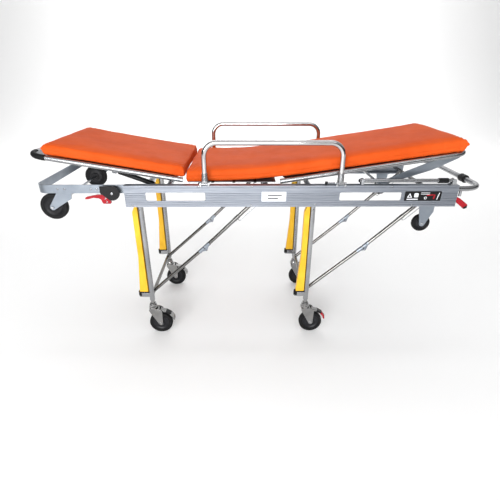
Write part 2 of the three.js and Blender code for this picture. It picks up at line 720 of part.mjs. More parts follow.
function upperBrace(x) {
  const sleeve = crossRod(x + BRACE_REACH, PIVOT_Z, -CHANNEL_Y, CHANNEL_Y, 9);
  const arms = [-1, 1].flatMap((side) => {
    const y = side * BRACE_Y;
    const [startX, startZ] = onUpper(x, UPPER_BRACE - 1);
    const ears = [-1, 1].map((face) =>
      kneeEar(x, onUpper(x, UPPER_BRACE - 22), y + face * 6, y + face * 9));
    return [rod([startX, y, startZ], [x + BRACE_REACH, y, PIVOT_Z], BRACE_RADIUS, 12), ...ears];
  });
  return join(sleeve, ...arms);
}

// ---------- castors, drawn about the swivel axis ----------
const CASTOR_TOP = LEG_BOTTOM - GAP;
const PEDAL_PIVOT = [36, 130];

function castorFork() {
  const head = join(
    rod([0, 0, 141], [0, 0, 168], 21, 16, 18),
    rod([0, 0, 160], [0, 0, CASTOR_TOP], 10, 12),
    box([-19, -20, 137], [24, 20, 144]),
    crossRod(CASTOR_TRAIL, CASTOR_RADIUS, -22, 22, AXLE_RADIUS),
  );
  const cheek = new THREE.Shape();
  cheek.moveTo(-19, 144);
  cheek.lineTo(-19, 132);
  cheek.absarc(CASTOR_TRAIL, CASTOR_RADIUS, 11, Math.PI * 1.1, Math.PI * 2.02);
  cheek.lineTo(46, 122);
  cheek.lineTo(44, 134);
  cheek.lineTo(24, 144);
  const cheeks = [-1, 1].map((face) => sidePlate(cheek, face * 17, face * 20, 5));
  return join(head, ...cheeks);
}

/** Foot pedal that curves down behind the tyre and closes on it when pressed. */
function brakePedal() {
  const [x, z] = PEDAL_PIVOT;
  const underside = [[x - 4, z - 5], [58, 119.5], [79, 107], [91.5, 91], [97, 76]];
  const back = [[103.5, 75], [100, 95], [88, 113], [64, 128], [x, z + 5]];
  return join(crossRod(x, z, -16.4, 16.4, 5), sidePlate(outline([...underside, ...back]), -13, 13));
}

Object.entries(LEG_PAIRS).forEach(([end, x]) => {
  add(cot, `${end}_leg_frame`, legFrame(x), aluminium);
  add(cot, `${end}_lower_brace`, lowerBrace(x), aluminium);
  add(cot, `${end}_upper_brace`, upperBrace(x), aluminium);
  Object.entries(SIDES).forEach(([name, side]) => {
    add(cot, `${end}_${name}_leg_guard`, legGuard(x, side), yellowPlastic);
    const castor = new THREE.Group();
    castor.position.set(x, side * LEG_Y, 0);
    cot.add(castor);
    add(castor, `${end}_${name}_castor_fork`, castorFork(), steel);
    add(castor, `${end}_${name}_brake_pedal`, brakePedal(), redPlastic);
    const castorWheel = wheel(CASTOR_RADIUS, CASTOR_WIDTH, AXLE_RADIUS + 0.6);
    add(castor, `${end}_${name}_castor_wheel`, castorWheel, rubber)
      .position.set(CASTOR_TRAIL, 0, CASTOR_RADIUS);
  });
});

export default cot;
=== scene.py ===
"""Looks of the ambulance cot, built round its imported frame.

Metres. +Z is up, -X the head (loading) end, +X the foot (handle) end, -Y the left side.
"""
import json
import math

import bmesh
import bpy
from mathutils import Matrix, Vector, noise


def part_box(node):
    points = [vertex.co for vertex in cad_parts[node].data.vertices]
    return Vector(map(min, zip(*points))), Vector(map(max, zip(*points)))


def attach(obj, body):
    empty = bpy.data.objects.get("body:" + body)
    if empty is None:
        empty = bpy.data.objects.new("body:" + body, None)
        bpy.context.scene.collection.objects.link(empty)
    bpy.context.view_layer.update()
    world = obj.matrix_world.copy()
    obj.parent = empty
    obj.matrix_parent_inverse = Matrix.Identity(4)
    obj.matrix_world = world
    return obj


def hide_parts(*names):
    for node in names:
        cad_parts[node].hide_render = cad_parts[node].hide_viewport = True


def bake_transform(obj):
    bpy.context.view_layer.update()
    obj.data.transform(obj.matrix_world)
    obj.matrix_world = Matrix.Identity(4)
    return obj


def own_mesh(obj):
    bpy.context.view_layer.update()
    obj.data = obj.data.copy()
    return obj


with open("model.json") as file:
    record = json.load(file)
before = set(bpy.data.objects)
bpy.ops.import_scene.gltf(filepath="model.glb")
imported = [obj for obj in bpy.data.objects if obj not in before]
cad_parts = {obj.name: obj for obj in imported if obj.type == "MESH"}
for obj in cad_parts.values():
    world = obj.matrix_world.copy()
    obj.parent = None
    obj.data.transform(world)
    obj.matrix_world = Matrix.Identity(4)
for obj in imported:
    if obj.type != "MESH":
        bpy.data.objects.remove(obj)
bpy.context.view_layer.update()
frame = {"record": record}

# ---------- places, read from the frame ----------
RECORD = frame["record"]
JOINTS = {joint["name"]: joint for joint in RECORD["behaviour"]["joints"]}
OPENINGS = {opening["name"]: opening["box_m"] for opening in RECORD["physics"]["openings"]}
SIDES = {"left": -1, "right": 1}
ENDS = ("front", "rear")


def pivot(name):
    return Vector(JOINTS[name]["pos_m"])


def box(node):
    low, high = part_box(node)
    return Vector(low), Vector(high)


BEAM_LOW, BEAM_HIGH = box("left_side_beam")
BEAM_OUTER = -RECORD["mounts"][0]["pos_m"][1]
BEAM_DEPTH = 0.030
BEAM_TOP = 0.789
BEAM_WALL = 0.004
BEAM_FLANGE = 0.0055
WINDOW_MARGIN = 0.002
WINDOW_CORNER = 0.007
GROOVE = 0.0014

LOADING_FRAME_Y = 0.273
LOADING_FRAME_THICK = 0.006
LOADING_FRAME_CORNER = 0.046
TONGUE_TOP = 0.7825

RAIL_RADIUS = 0.0105
RAIL_Y = 0.249
BACK_BEND = 0.056
LEG_BEND = 0.050
BACK_LEAN = math.radians(-JOINTS["backrest_tilt"]["range_deg"][0])
LEG_LEAN = math.radians(-JOINTS["leg_section_tilt"]["range_deg"][0])
BACK_LENGTH = 0.640
LEG_LENGTH = 0.794
PAD_HALF_WIDTH = 0.2535

GUARD_RADIUS = 0.011
GUARD_BEND = 0.054
GUARD_Y = 0.281
GUARD_X = (-0.245, 0.323)

LEG_Y = abs(pivot("front_left_castor_swivel").y)
LEG_RADIUS = 0.0125
BRACE_Y = 0.188
BRACE_RADIUS = 0.0085
KNEE_OFFSET = 0.014
CASTOR_TRAIL = 0.032
GAS_Y = pivot("gas_spring_swing").y
GAS_BAR_X = -0.408
GAS_EYE_HALF = 0.0074
LUG_GAP = 0.010
LUG_HALF = 0.002
PROP_Y = 0.222

HANDLE_RADIUS = 0.011
HANDLE_Y = 0.2785
HANDLE_BEND = 0.085


# ---------- materials ----------
def srgb(red, green, blue):
    """Linear colour of an 8-bit screen colour."""
    parts = [value / 255 for value in (red, green, blue)]
    linear = [part / 12.92 if part <= 0.04045 else ((part + 0.055) / 1.055) ** 2.4 for part in parts]
    return (*linear, 1.0)


class Finish:
    """A node material: a principled shader whose colour, roughness and bump vary by noise."""

    def __init__(self, name, metallic=0.0):
        self.material = bpy.data.materials.new(name)
        self.material.use_nodes = True
        self.nodes = self.material.node_tree.nodes
        self.links = self.material.node_tree.links
        self.shader = self.nodes["Principled BSDF"]
        self.shader.inputs["Metallic"].default_value = metallic
        self.place = self.nodes.new("ShaderNodeTexCoord").outputs["Object"]

    def stretched(self, scale):
        mapping = self.nodes.new("ShaderNodeMapping")
        mapping.inputs["Scale"].default_value = scale
        self.links.new(self.place, mapping.inputs["Vector"])
        return mapping.outputs["Vector"]

    def noise(self, scale, detail=3.0, stretch=(1, 1, 1)):
        texture = self.nodes.new("ShaderNodeTexNoise")
        texture.inputs["Scale"].default_value = scale
        texture.inputs["Detail"].default_value = detail
        self.links.new(self.stretched(stretch), texture.inputs["Vector"])
        return texture.outputs["Fac"]

    def voronoi(self, scale, stretch=(1, 1, 1)):
        texture = self.nodes.new("ShaderNodeTexVoronoi")
        texture.feature = "DISTANCE_TO_EDGE"
        texture.inputs["Scale"].default_value = scale
        self.links.new(self.stretched(stretch), texture.inputs["Vector"])
        return texture.outputs["Distance"]

    def colour(self, dark, light, factor, low=0.35, high=0.65):
        ramp = self.nodes.new("ShaderNodeValToRGB")
        ramp.color_ramp.elements[0].position = low
        ramp.color_ramp.elements[0].color = dark
        ramp.color_ramp.elements[1].position = high
        ramp.color_ramp.elements[1].color = light
        self.links.new(factor, ramp.inputs["Fac"])
        self.links.new(ramp.outputs["Color"], self.shader.inputs["Base Color"])
        return self

    def roughness(self, smooth, rough, factor):
        spread = self.nodes.new("ShaderNodeMapRange")
        spread.inputs["To Min"].default_value = smooth
        spread.inputs["To Max"].default_value = rough
        self.links.new(factor, spread.inputs["Value"])
        self.links.new(spread.outputs["Result"], self.shader.inputs["Roughness"])
        return self

    def bump(self, height, strength, distance=0.001):
        bump = self.nodes.new("ShaderNodeBump")
        bump.inputs["Strength"].default_value = strength
        bump.inputs["Distance"].default_value = distance
        self.links.new(height, bump.inputs["Height"])
        previous = self.shader.inputs["Normal"].links
        if previous:
            self.links.new(previous[0].from_socket, bump.inputs["Normal"])
        self.links.new(bump.outputs["Normal"], self.shader.inputs["Normal"])
        return self

    def socket(self, **values):
        for name, value in values.items():
            self.shader.inputs[name.replace("_", " ")].default_value = value
        return self


def brushed_tube(name, light, dark, smooth, rough):
    """Anodised tube: fine drawn lines and slow tone changes."""
    finish = Finish(name, metallic=1.0)
    finish.colour(dark, light, finish.noise(9, 4), 0.3, 0.7)
    finish.roughness(smooth, rough, finish.noise(60, 5))
    finish.bump(finish.noise(900, 2), 0.12, 0.0003)
    return finish.material


def beam_aluminium():
    """Extruded beam: streaks that run along the profile."""
    finish = Finish("extruded_aluminium", metallic=1.0)
    streaks = finish.noise(40, 6, (0.25, 6, 12))
    finish.colour(srgb(134, 139, 148), srgb(160, 165, 174), streaks, 0.3, 0.7)
    finish.roughness(0.34, 0.50, finish.noise(70, 4, (0.3, 4, 8)))
    finish.bump(finish.noise(300, 3, (0.1, 4, 4)), 0.10, 0.0004)
    return finish.material


def orange_vinyl():
    """Coated fabric: pebbled grain over a soft sheen, slightly uneven in tone."""
    finish = Finish("orange_vinyl")
    finish.colour(srgb(208, 80, 26), srgb(220, 90, 34), finish.noise(7, 5), 0.32, 0.68)
    finish.roughness(0.46, 0.60, finish.noise(35, 4))
    finish.bump(finish.voronoi(520), 0.10, 0.0006)
    finish.bump(finish.noise(260, 4), 0.16, 0.0008)
    finish.socket(Specular_IOR_Level=0.05)
    return finish.material


def rubber(name, dark, light, rough=0.72):
    finish = Finish(name)
    finish.colour(dark, light, finish.noise(45, 5), 0.3, 0.7)
    finish.roughness(rough - 0.10, rough + 0.10, finish.noise(90, 4))
    finish.bump(finish.noise(420, 4), 0.20, 0.0006)
    finish.socket(Specular_IOR_Level=0.25)
    return finish.material


def moulded(name, dark, light, smooth=0.32, rough=0.46):
    """Moulded plastic with a fine spark-eroded grain."""
    finish = Finish(name)
    finish.colour(dark, light, finish.noise(14, 4), 0.3, 0.7)
    finish.roughness(smooth, rough, finish.noise(50, 3))
    finish.bump(finish.noise(700, 3), 0.12, 0.0004)
    finish.socket(Specular_IOR_Level=0.30)
    return finish.material


TUBE = brushed_tube("satin_tube", srgb(172, 173, 175), srgb(146, 147, 150), 0.18, 0.30)
BRIGHT = brushed_tube("polished_tube", srgb(204, 202, 202), srgb(180, 178, 179), 0.09, 0.17)
CHROME = brushed_tube("chrome_plate", srgb(196, 198, 201), srgb(158, 160, 164), 0.14, 0.26)
BLUED = brushed_tube("zinc_bracket", srgb(158, 165, 174), srgb(134, 142, 152), 0.30, 0.44)
FORK = brushed_tube("castor_steel", srgb(176, 176, 176), srgb(128, 127, 126), 0.10, 0.20)
# Brace tube: coloured darker than the satin tube as painted shade for the braces that sit low under the cot.
PAINTED_SHADE_BRACE = brushed_tube("painted_shade_brace_tube", srgb(136, 135, 133), srgb(108, 107, 106), 0.16, 0.26)
BEAM = beam_aluminium()
SHEET = brushed_tube("deck_sheet", srgb(150, 152, 156), srgb(122, 124, 128), 0.40, 0.55)
VINYL = orange_vinyl()
RUBBER = rubber("black_rubber", srgb(8, 8, 9), srgb(18, 18, 20), 0.62)
HUB = moulded("hub_plastic", srgb(16, 16, 19), srgb(30, 30, 34), 0.34, 0.48)
BLACK = moulded("black_plastic", srgb(6, 6, 8), srgb(14, 14, 17))
RED = moulded("red_plastic", srgb(152, 14, 28), srgb(172, 22, 36), 0.28, 0.40)
YELLOW = moulded("yellow_plastic", srgb(230, 172, 34), srgb(240, 190, 50), 0.36, 0.50)
WHITE = moulded("white_label", srgb(226, 229, 234), srgb(240, 242, 246), 0.30, 0.42)


# ---------- mesh building ----------
def rounded(corners, bend, steps=10):
    """Route through the corners, each inner corner rounded to the bend radius."""
    points = [Vector(corner) for corner in corners]
    route = [points[0]]
    for before, corner, after in zip(points, points[1:], points[2:]):
        back = (before - corner).normalized()
        ahead = (after - corner).normalized()
        half = back.angle(ahead) / 2
        centre = corner + (back + ahead).normalized() * (bend / math.sin(half))
        start = corner + back * (bend / math.tan(half)) - centre
        end = corner + ahead * (bend / math.tan(half)) - centre
        axis = start.cross(end).normalized()
        for step in range(steps + 1):
            turn = Matrix.Rotation((math.pi - 2 * half) * step / steps, 3, axis)
            route.append(centre + turn @ start)
    route.append(points[-1])
    return route


def arc(centre, radius, start, end, steps=10):
    """Points of an arc in a plane, angles in degrees."""
    turns = [math.radians(start + (end - start) * step / steps) for step in range(steps + 1)]
    return [(centre[0] + radius * math.cos(turn), centre[1] + radius * math.sin(turn)) for turn in turns]


def belt(a, b, steps=8):
    """Outline round two circles, each given as (x, z, radius)."""
    heading = math.degrees(math.atan2(b[1] - a[1], b[0] - a[0]))
    lean = math.degrees(math.acos((a[2] - b[2]) / math.hypot(b[0] - a[0], b[1] - a[1])))
    near = arc(a, a[2], heading + lean, heading - lean + 360, steps)
    return arc(b, b[2], heading - lean, heading + lean, steps) + near


def outward_mesh(name, vertices, faces):
    """Mesh whose faces all point outwards."""
    mesh = bpy.data.meshes.new(name)
    mesh.from_pydata(vertices, [], faces)
    turn_outward(mesh)
    return mesh


def turn_outward(mesh):
    work = bmesh.new()
    work.from_mesh(mesh)
    bmesh.ops.recalc_face_normals(work, faces=work.faces)
    work.to_mesh(mesh)
    work.free()


def in_scene(name, data):
    piece = bpy.data.objects.new(name, data)
    bpy.context.scene.collection.objects.link(piece)
    return piece


def crosswise(tangent):
    """Two directions square to the tangent and to each other."""
    guide = Vector((0, 1, 0)) if abs(tangent.y) < 0.9 else Vector((0, 0, 1))
    side = tangent.cross(guide).normalized()
    return side, tangent.cross(side)


def bevel(piece, width, angle, segments=2, harden=True):
    edges = piece.modifiers.new("edges", "BEVEL")
    edges.width = width
    edges.segments = segments
    edges.limit_method = "ANGLE"
    edges.angle_limit = math.radians(angle)
    edges.harden_normals = harden


class Shape:
    def __init__(self, *materials, place=None):
        self.materials = materials
        self.place = place or Matrix.Identity(4)
        self.vertices = []
        self.faces = []
        self.slots = []

    def add(self, vertices, faces, material=0):
        base = len(self.vertices)
        self.vertices += [self.place @ Vector(vertex) for vertex in vertices]
        self.faces += [[base + index for index in face] for face in faces]
        self.slots += [material] * len(faces)
        return self

    def loft(self, rings, material=0, closed=False):
        """Skin over rings of equal length, capped at both ends unless it closes on itself."""
        count = len(rings[0])
        vertices = [point for ring in rings for point in ring]
        faces = []
        spans = len(rings) if closed else len(rings) - 1
        for row in range(spans):
            here = row * count
            there = ((row + 1) % len(rings)) * count
            for k in range(count):
                nxt = (k + 1) % count
                faces.append([here + k, here + nxt, there + nxt, there + k])
        if not closed:
            faces.append(list(range(count))[::-1])
            faces.append([(len(rings) - 1) * count + k for k in range(count)])
        return self.add(vertices, faces, material)

    def tube(self, route, radius, material=0, sides=24):
        """Round tube along a route."""
        points = [Vector(point) for point in route]
        side = None
        rings = []
        for k, point in enumerate(points):
            tangent = (points[min(k + 1, len(points) - 1)] - points[max(k - 1, 0)]).normalized()
            if side is None:
                side = crosswise(tangent)[0]
            side = (side - tangent * side.dot(tangent)).normalized()
            up = tangent.cross(side)
            ring = []
            for step in range(sides):
                turn = 2 * math.pi * step / sides
                ring.append(point + side * radius * math.cos(turn) + up * radius * math.sin(turn))
            rings.append(ring)
        return self.loft(rings, material)

    def rod(self, start, end, radius, material=0, far_radius=None, sides=24):
        """Round bar between two points, straight or tapered."""
        a, b = Vector(start), Vector(end)
        tangent = (b - a).normalized()
        side, up = crosswise(tangent)
        far_radius = radius if far_radius is None else far_radius
        rings = []
        for point, size in ((a, radius), (b, far_radius)):
            turns = [2 * math.pi * step / sides for step in range(sides)]
            rings.append([point + side * size * math.cos(t) + up * size * math.sin(t) for t in turns])
        return self.loft(rings, material)

    def lathe(self, profile, centre, axis=(0, 1, 0), material=0, sides=40):
        """Ring turned about an axis; the (radius, along) profile closes on itself."""
        middle = Vector(centre)
        tangent = Vector(axis).normalized()
        guide = Vector((0, 0, 1)) if abs(tangent.z) < 0.9 else Vector((1, 0, 0))
        side = tangent.cross(guide).normalized()
        up = tangent.cross(side)
        rings = []
        for step in range(sides):
            turn = 2 * math.pi * step / sides
            out = side * math.cos(turn) + up * math.sin(turn)
            rings.append([middle + out * radius + tangent * along for radius, along in profile])
        return self.loft(rings, material, closed=True)

    def plate(self, outline, y0, y1, material=0):
        """Outline in the XZ plane, between two Y values."""
        return self.loft([[(x, y, z) for x, z in outline] for y in (y0, y1)], material)

    def slab(self, outline, z0, z1, material=0):
        """Outline in the XY plane, between two heights."""
        return self.loft([[(x, y, z) for x, y in outline] for z in (z0, z1)], material)

    def block(self, low, high, material=0):
        (x0, y0, z0), (x1, y1, z1) = low, high
        return self.plate([(x0, z0), (x1, z0), (x1, z1), (x0, z1)], y0, y1, material)

    def screw(self, centre, axis, radius, height, material=0):
        """Domed screw head with a hexagon socket, standing on a face."""
        socket = radius * 0.45
        profile = [
            (socket, height * 0.35), (socket, height), (radius * 0.75, height * 0.95),
            (radius, height * 0.5), (radius, -height * 0.4), (socket, -height * 0.4),
        ]
        self.lathe(profile, centre, axis, material, sides=18)
        start = Vector(centre) - Vector(axis).normalized() * height * 0.35
        return self.rod(start, Vector(centre) + Vector(axis).normalized() * height * 0.3, socket * 0.98,
                        material, sides=6)

    def pin(self, x, z, y0, y1, radius, material=0):
        """Round bar across the cot."""
        return self.rod((x, y0, z), (x, y1, z), radius, material)

    def fork(self, outline, middle, gap, half, material=0):
        """Two equal plates, one on each side of a middle plane."""
        for offset in (-gap, gap):
            self.plate(outline, middle + offset - half, middle + offset + half, material)
        return self

    def finish(self, name, body, slot, *nodes, edge=0.0008, angle=38):
        mesh = bpy.data.meshes.new(name)
        mesh.from_pydata(self.vertices, [], self.faces)
        for material in self.materials:
            mesh.materials.append(material)
        mesh.polygons.foreach_set("material_index", self.slots)
        turn_outward(mesh)
        mesh.shade_smooth()
        mesh.set_sharp_from_angle(angle=math.radians(angle))
        piece = in_scene(name, mesh)
        if edge:
            bevel(piece, edge, angle)
        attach(piece, body)
        if nodes:
            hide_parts(*nodes)
        return piece


# ---------- side beams ----------
def beam_grooves(bottom):
    """Heights of the grooves drawn into the outer face: ribs between two wide bands."""
    bands = [bottom + 0.0105, bottom + 0.0205, BEAM_TOP - 0.0085]
    ribs = [bottom + 0.0285 + 0.008 * k for k in range(5)]
    return sorted(bands + ribs)


def beam_section(side, bottom):
    outer = [(0, bottom)]
    for z in beam_grooves(bottom):
        outer += [(0, z - GROOVE), (GROOVE, z - GROOVE * 0.5), (GROOVE, z + GROOVE * 0.5), (0, z + GROOVE)]
    outer.append((0, BEAM_TOP))
    inner = [
        (BEAM_DEPTH, BEAM_TOP), (BEAM_DEPTH, BEAM_TOP - BEAM_FLANGE), (BEAM_WALL, BEAM_TOP - BEAM_FLANGE),
        (BEAM_WALL, bottom + BEAM_FLANGE), (BEAM_DEPTH, bottom + BEAM_FLANGE), (BEAM_DEPTH, bottom),
    ]
    return [(side * (BEAM_OUTER - depth), z) for depth, z in outer + inner]


def rounded_rect(x0, z0, x1, z1, radius, steps=6):
    corners = [(x1 - radius, z0 + radius, -90), (x1 - radius, z1 - radius, 0),
               (x0 + radius, z1 - radius, 90), (x0 + radius, z0 + radius, 180)]
    return [point for x, z, start in corners for point in arc((x, z), radius, start, start + 90, steps)]


def window_cutter(side_name):
    cutter = Shape(BEAM)
    for place in ("head", "foot"):
        low, high = OPENINGS[f"{side_name}_{place}_window"]
        outline = rounded_rect(low[0] - WINDOW_MARGIN, low[2] - WINDOW_MARGIN,
                               high[0] + WINDOW_MARGIN, high[2] + WINDOW_MARGIN, WINDOW_CORNER)
        cutter.plate(outline, low[1] - 0.01, high[1] + 0.01)
    return in_scene("window_cutter", outward_mesh("window_cutter", cutter.vertices, cutter.faces))


def side_beam(name, side):
    section = beam_section(side, BEAM_LOW.z)
    beam = Shape(BEAM)
    beam.loft([[(x, y, z) for y, z in section] for x in (BEAM_LOW.x, BEAM_HIGH.x)])
    piece = beam.finish(f"{name}_beam_extrusion", "root", "aluminium_beam", f"{name}_side_beam", edge=0)
    tool = window_cutter(name)
    cut = piece.modifiers.new("windows", "BOOLEAN")
    cut.object = tool
    cut.solver = "EXACT"
    bpy.context.view_layer.update()
    graph = bpy.context.evaluated_depsgraph_get()
    result = bpy.data.meshes.new_from_object(piece.evaluated_get(graph))
    piece.modifiers.clear()
    piece.data = result
    bpy.data.objects.remove(tool)
    result.set_sharp_from_angle(angle=math.radians(30))
    bevel(piece, 0.0004, 50, segments=1, harden=False)


def beam_fittings(name, side):
    """Screws on the outer face and the guard hinge brackets."""
    fittings = Shape(CHROME, BLACK)
    outward = (0, side, 0)
    low_row, high_row = BEAM_LOW.z + 0.006, BEAM_TOP - 0.0045
    for x, z in [(-0.554, low_row), (-0.054, low_row + 0.002), (0.223, low_row + 0.004),
                 (0.640, low_row), (-0.270, high_row), (-0.047, high_row), (0.540, high_row)]:
        fittings.screw((x, side * BEAM_OUTER, z), outward, 0.0042, 0.0018)
    for x in GUARD_X:
        for offset in (-0.017, 0.017):
            outline = [(side * 0.290, BEAM_TOP - 0.003), (side * 0.303, BEAM_TOP - 0.003)]
            outline += [(side * (0.297 + dy), BEAM_TOP + 0.0085 + dz)
                        for dy, dz in arc((0, 0), 0.0065, 0, 180, 8)]
            rings = [[(x + offset + dx, y, z) for y, z in outline] for dx in (-0.004, 0.004)]
            fittings.loft(rings)
    fittings.finish(f"{name}_beam_fittings", "root", "chrome_steel")


for side_name, side_sign in SIDES.items():
    side_beam(side_name, side_sign)
    beam_fittings(side_name, side_sign)


# ---------- wheels ----------
def wheel(name, body, node):
    """Moulded tyre with a rounded tread, stepped hub and bearing cap."""
    low, high = box(node)
    centre = (low + high) / 2
    radius = (high.z - low.z) / 2
    half = (high.y - low.y) / 2
    piece = Shape(RUBBER, HUB)
    tread = [(radius - 0.006 + dr, along) for dr, along in
             [(0.0, -half), (0.0035, -half + 0.001), (0.0055, -half + 0.0045), (0.006, -half * 0.3),
              (0.006, half * 0.3), (0.0055, half - 0.0045), (0.0035, half - 0.001), (0.0, half)]]
    rim = radius * 0.70
    tyre = [(rim, -half + 0.003), (rim + 0.002, -half + 0.0008)] + tread
    tyre += [(rim + 0.002, half - 0.0008), (rim, half - 0.003)]
    piece.lathe(tyre, centre, material=0, sides=56)
    hub = [(0.0052, -half + 0.001), (radius * 0.26, -half + 0.001), (radius * 0.32, -half + 0.006),
           (radius * 0.56, -half + 0.0075), (rim - 0.001, -half + 0.0035), (rim + 0.0005, -half + 0.004),
           (rim + 0.0005, half - 0.004), (rim - 0.001, half - 0.0035), (radius * 0.56, half - 0.0075),
           (radius * 0.32, half - 0.006), (radius * 0.26, half - 0.001), (0.0052, half - 0.001)]
    if radius > 0.05:
        hub = [(max(r, 0.0068) if r < 0.006 else r, along) for r, along in hub]
    piece.lathe(hub, centre, material=1, sides=48)
    piece.finish(name, body, "black_rubber", node, edge=0.0006, angle=30)


# ---------- loading frame and its wheels ----------
def flat_bar(piece, route, thick, z0, z1, material=0):
    """Flat bar on edge that follows a plan route."""
    rings = []
    for k, point in enumerate(route):
        tangent = (route[min(k + 1, len(route) - 1)] - route[max(k - 1, 0)]).normalized()
        across = Vector((-tangent.y, tangent.x, 0)) * thick / 2
        rings.append([point + across + Vector((0, 0, z0)), point - across + Vector((0, 0, z0)),
                      point - across + Vector((0, 0, z1)), point + across + Vector((0, 0, z1))])
    piece.loft(rings, material)


def loading_frame():
    low, high = box("loading_frame")
    middle = LOADING_FRAME_Y - LOADING_FRAME_THICK / 2
    tip = low.x + LOADING_FRAME_THICK / 2
    root = BEAM_LOW.x - 0.001
    route = rounded([(root, -middle, 0), (tip, -middle, 0), (tip, middle, 0), (root, middle, 0)],
                    LOADING_FRAME_CORNER - LOADING_FRAME_THICK / 2, 14)
    bar = Shape(BLUED, CHROME)
    flat_bar(bar, route, LOADING_FRAME_THICK, low.z, high.z)
    centre_z = (low.z + high.z) / 2
    for side in SIDES.values():
        inner, outer = sorted((side * LOADING_FRAME_Y, side * (LOADING_FRAME_Y - LOADING_FRAME_THICK)))
        bar.block((BEAM_LOW.x - 0.006, inner, low.z), (high.x, outer, TONGUE_TOP))
        for x in (-0.866, -0.838, -0.728, -0.702):
            bar.screw((x, side * LOADING_FRAME_Y, centre_z), (0, side, 0), 0.0048, 0.0022, 1)
    bar.finish("loading_frame_bar", "root", "aluminium_tube", "loading_frame", edge=0.0009)


def loading_hardware():
    hub = pivot("left_loading_roll")
    axle = Shape(CHROME)
    axle.pin(hub.x, hub.z, -0.280, 0.280, 0.006)
    axle.finish("loading_axle", "root", "chrome_steel", "loading_wheel_axle")
    for name, side in SIDES.items():
        low, high = box(f"{name}_loading_bracket")
        inner, outer = sorted((abs(low.y), abs(high.y)))
        outline = [(-0.877, high.z), (high.x, high.z), (high.x - 0.005, 0.726)]
        outline += arc((hub.x, hub.z), 0.013, -50, -207, 12)
        plate = Shape(BLUED, CHROME)
        plate.plate(outline, side * inner, side * outer)
        plate.screw((hub.x, side * outer, hub.z), (0, side, 0), 0.0065, 0.006, 1)
        plate.finish(f"{name}_loading_plate", "root", "aluminium_tube", f"{name}_loading_bracket")
        wheel(f"{name}_front_wheel", f"{name}_loading_wheel_body", f"{name}_loading_wheel")


def release_levers():
    for name, side in SIDES.items():
        low, high = box(f"{name}_lock_cover")
        outline = [(-0.640, 0.787), (-0.682, 0.786), (-0.682, 0.757), (-0.655, 0.735)]
        outline += arc((-0.634, 0.757), 0.031, -130, 76, 22)
        cover = Shape(BLACK, CHROME)
        cover.plate(outline, low.y, high.y)
        face = side * max(abs(low.y), abs(high.y))
        cover.screw((-0.634, face, 0.757), (0, side, 0), 0.006, 0.0028, 1)
        cover.finish(f"{name}_release_cover", "root", "black_plastic", f"{name}_lock_cover", edge=0.0016)
        low, high = box(f"{name}_lock_lever")
        lever = Shape(RED, CHROME)
        outline = [(-0.754, 0.728), (-0.7535, 0.733), (-0.748, 0.738), (-0.703, 0.747), (-0.676, 0.7475),
                   (-0.664, 0.741), (-0.648, 0.720), (-0.646, 0.713), (-0.650, 0.708), (-0.680, 0.708),
                   (-0.6835, 0.713), (-0.688, 0.727), (-0.697, 0.732), (-0.718, 0.734), (-0.742, 0.728)]
        lever.plate(outline, low.y, high.y)
        face = side * max(abs(low.y), abs(high.y))
        for x, z in ((-0.668, 0.731), (-0.664, 0.716)):
            lever.screw((x, face, z), (0, side, 0), 0.0036, 0.0012, 1)
        lever.finish(f"{name}_release_lever", f"{name}_lock", "red_plastic", f"{name}_lock_lever",
                     edge=0.0014)


loading_frame()
loading_hardware()
release_levers()


# ---------- rear handle, tail wheels, foot release ----------
def rear_handle():
    low, high = box("rear_handle")
    z = high.z - HANDLE_RADIUS
    tip = high.x - HANDLE_RADIUS
    route = rounded([(low.x, -HANDLE_Y, z), (tip, -HANDLE_Y, z), (tip, HANDLE_Y, z), (low.x, HANDLE_Y, z)],
                    HANDLE_BEND, 18)
    handle = Shape(TUBE)
    handle.tube(route, HANDLE_RADIUS)
    handle.rod((0.844, -HANDLE_Y, z), (0.844, -HANDLE_Y, low.z), 0.006)
    handle.finish("push_handle", "root", "aluminium_tube", "rear_handle")
    low, high = box("handle_collar")
    centre = (low + high) / 2
    half = (high.y - low.y) / 2
    outer = (high.z - low.z) / 2
    inner = HANDLE_RADIUS + 0.0003
    collar = Shape(BLACK, CHROME)
    profile = [(inner, half), (inner, -half), (outer - 0.004, -half), (outer, -half + 0.004),
               (outer, -0.002), (outer - 0.0015, -0.001), (outer - 0.0015, 0.001), (outer, 0.002),
               (outer, half - 0.004), (outer - 0.004, half)]
    collar.lathe(profile, centre, material=0, sides=36)
    for step in (-0.012, 0.012):
        face = (centre.x - 0.006, centre.y + step, centre.z + outer * 0.94)
        collar.screw(face, (-0.3, 0, 0.95), 0.0035, 0.0018, 1)
    collar.finish("handle_clamp_collar", "root", "black_plastic", "handle_collar")


def tail_wheels():
    for name, side in SIDES.items():
        high = box(f"{name}_tail_bracket")[1]
        hub = pivot(f"{name}_tail_roll")
        bracket = Shape(BLUED, CHROME)
        outline = [(hub.x - 0.013, hub.z - 0.001)] + arc((hub.x, hub.z), 0.012, 180, 345, 14)
        outline += [(hub.x + 0.036, high.z - 0.030), (hub.x + 0.039, high.z - 0.026), (hub.x + 0.039, high.z),
                    (hub.x - 0.027, high.z)]
        bracket.plate(outline, side * 0.2865, side * 0.2905)
        bracket.block((hub.x - 0.027, side * 0.266, high.z - 0.004), (hub.x + 0.039, side * 0.290, high.z))
        bracket.pin(hub.x, hub.z, side * 0.259, side * 0.292, 0.004, 1)
        bracket.screw((hub.x, side * 0.2905, hub.z), (0, side, 0), 0.0055, 0.003, 1)
        bracket.finish(f"{name}_tail_plate", "root", "aluminium_tube", f"{name}_tail_bracket")
        wheel(f"{name}_rear_wheel", f"{name}_tail_wheel_body", f"{name}_tail_wheel")


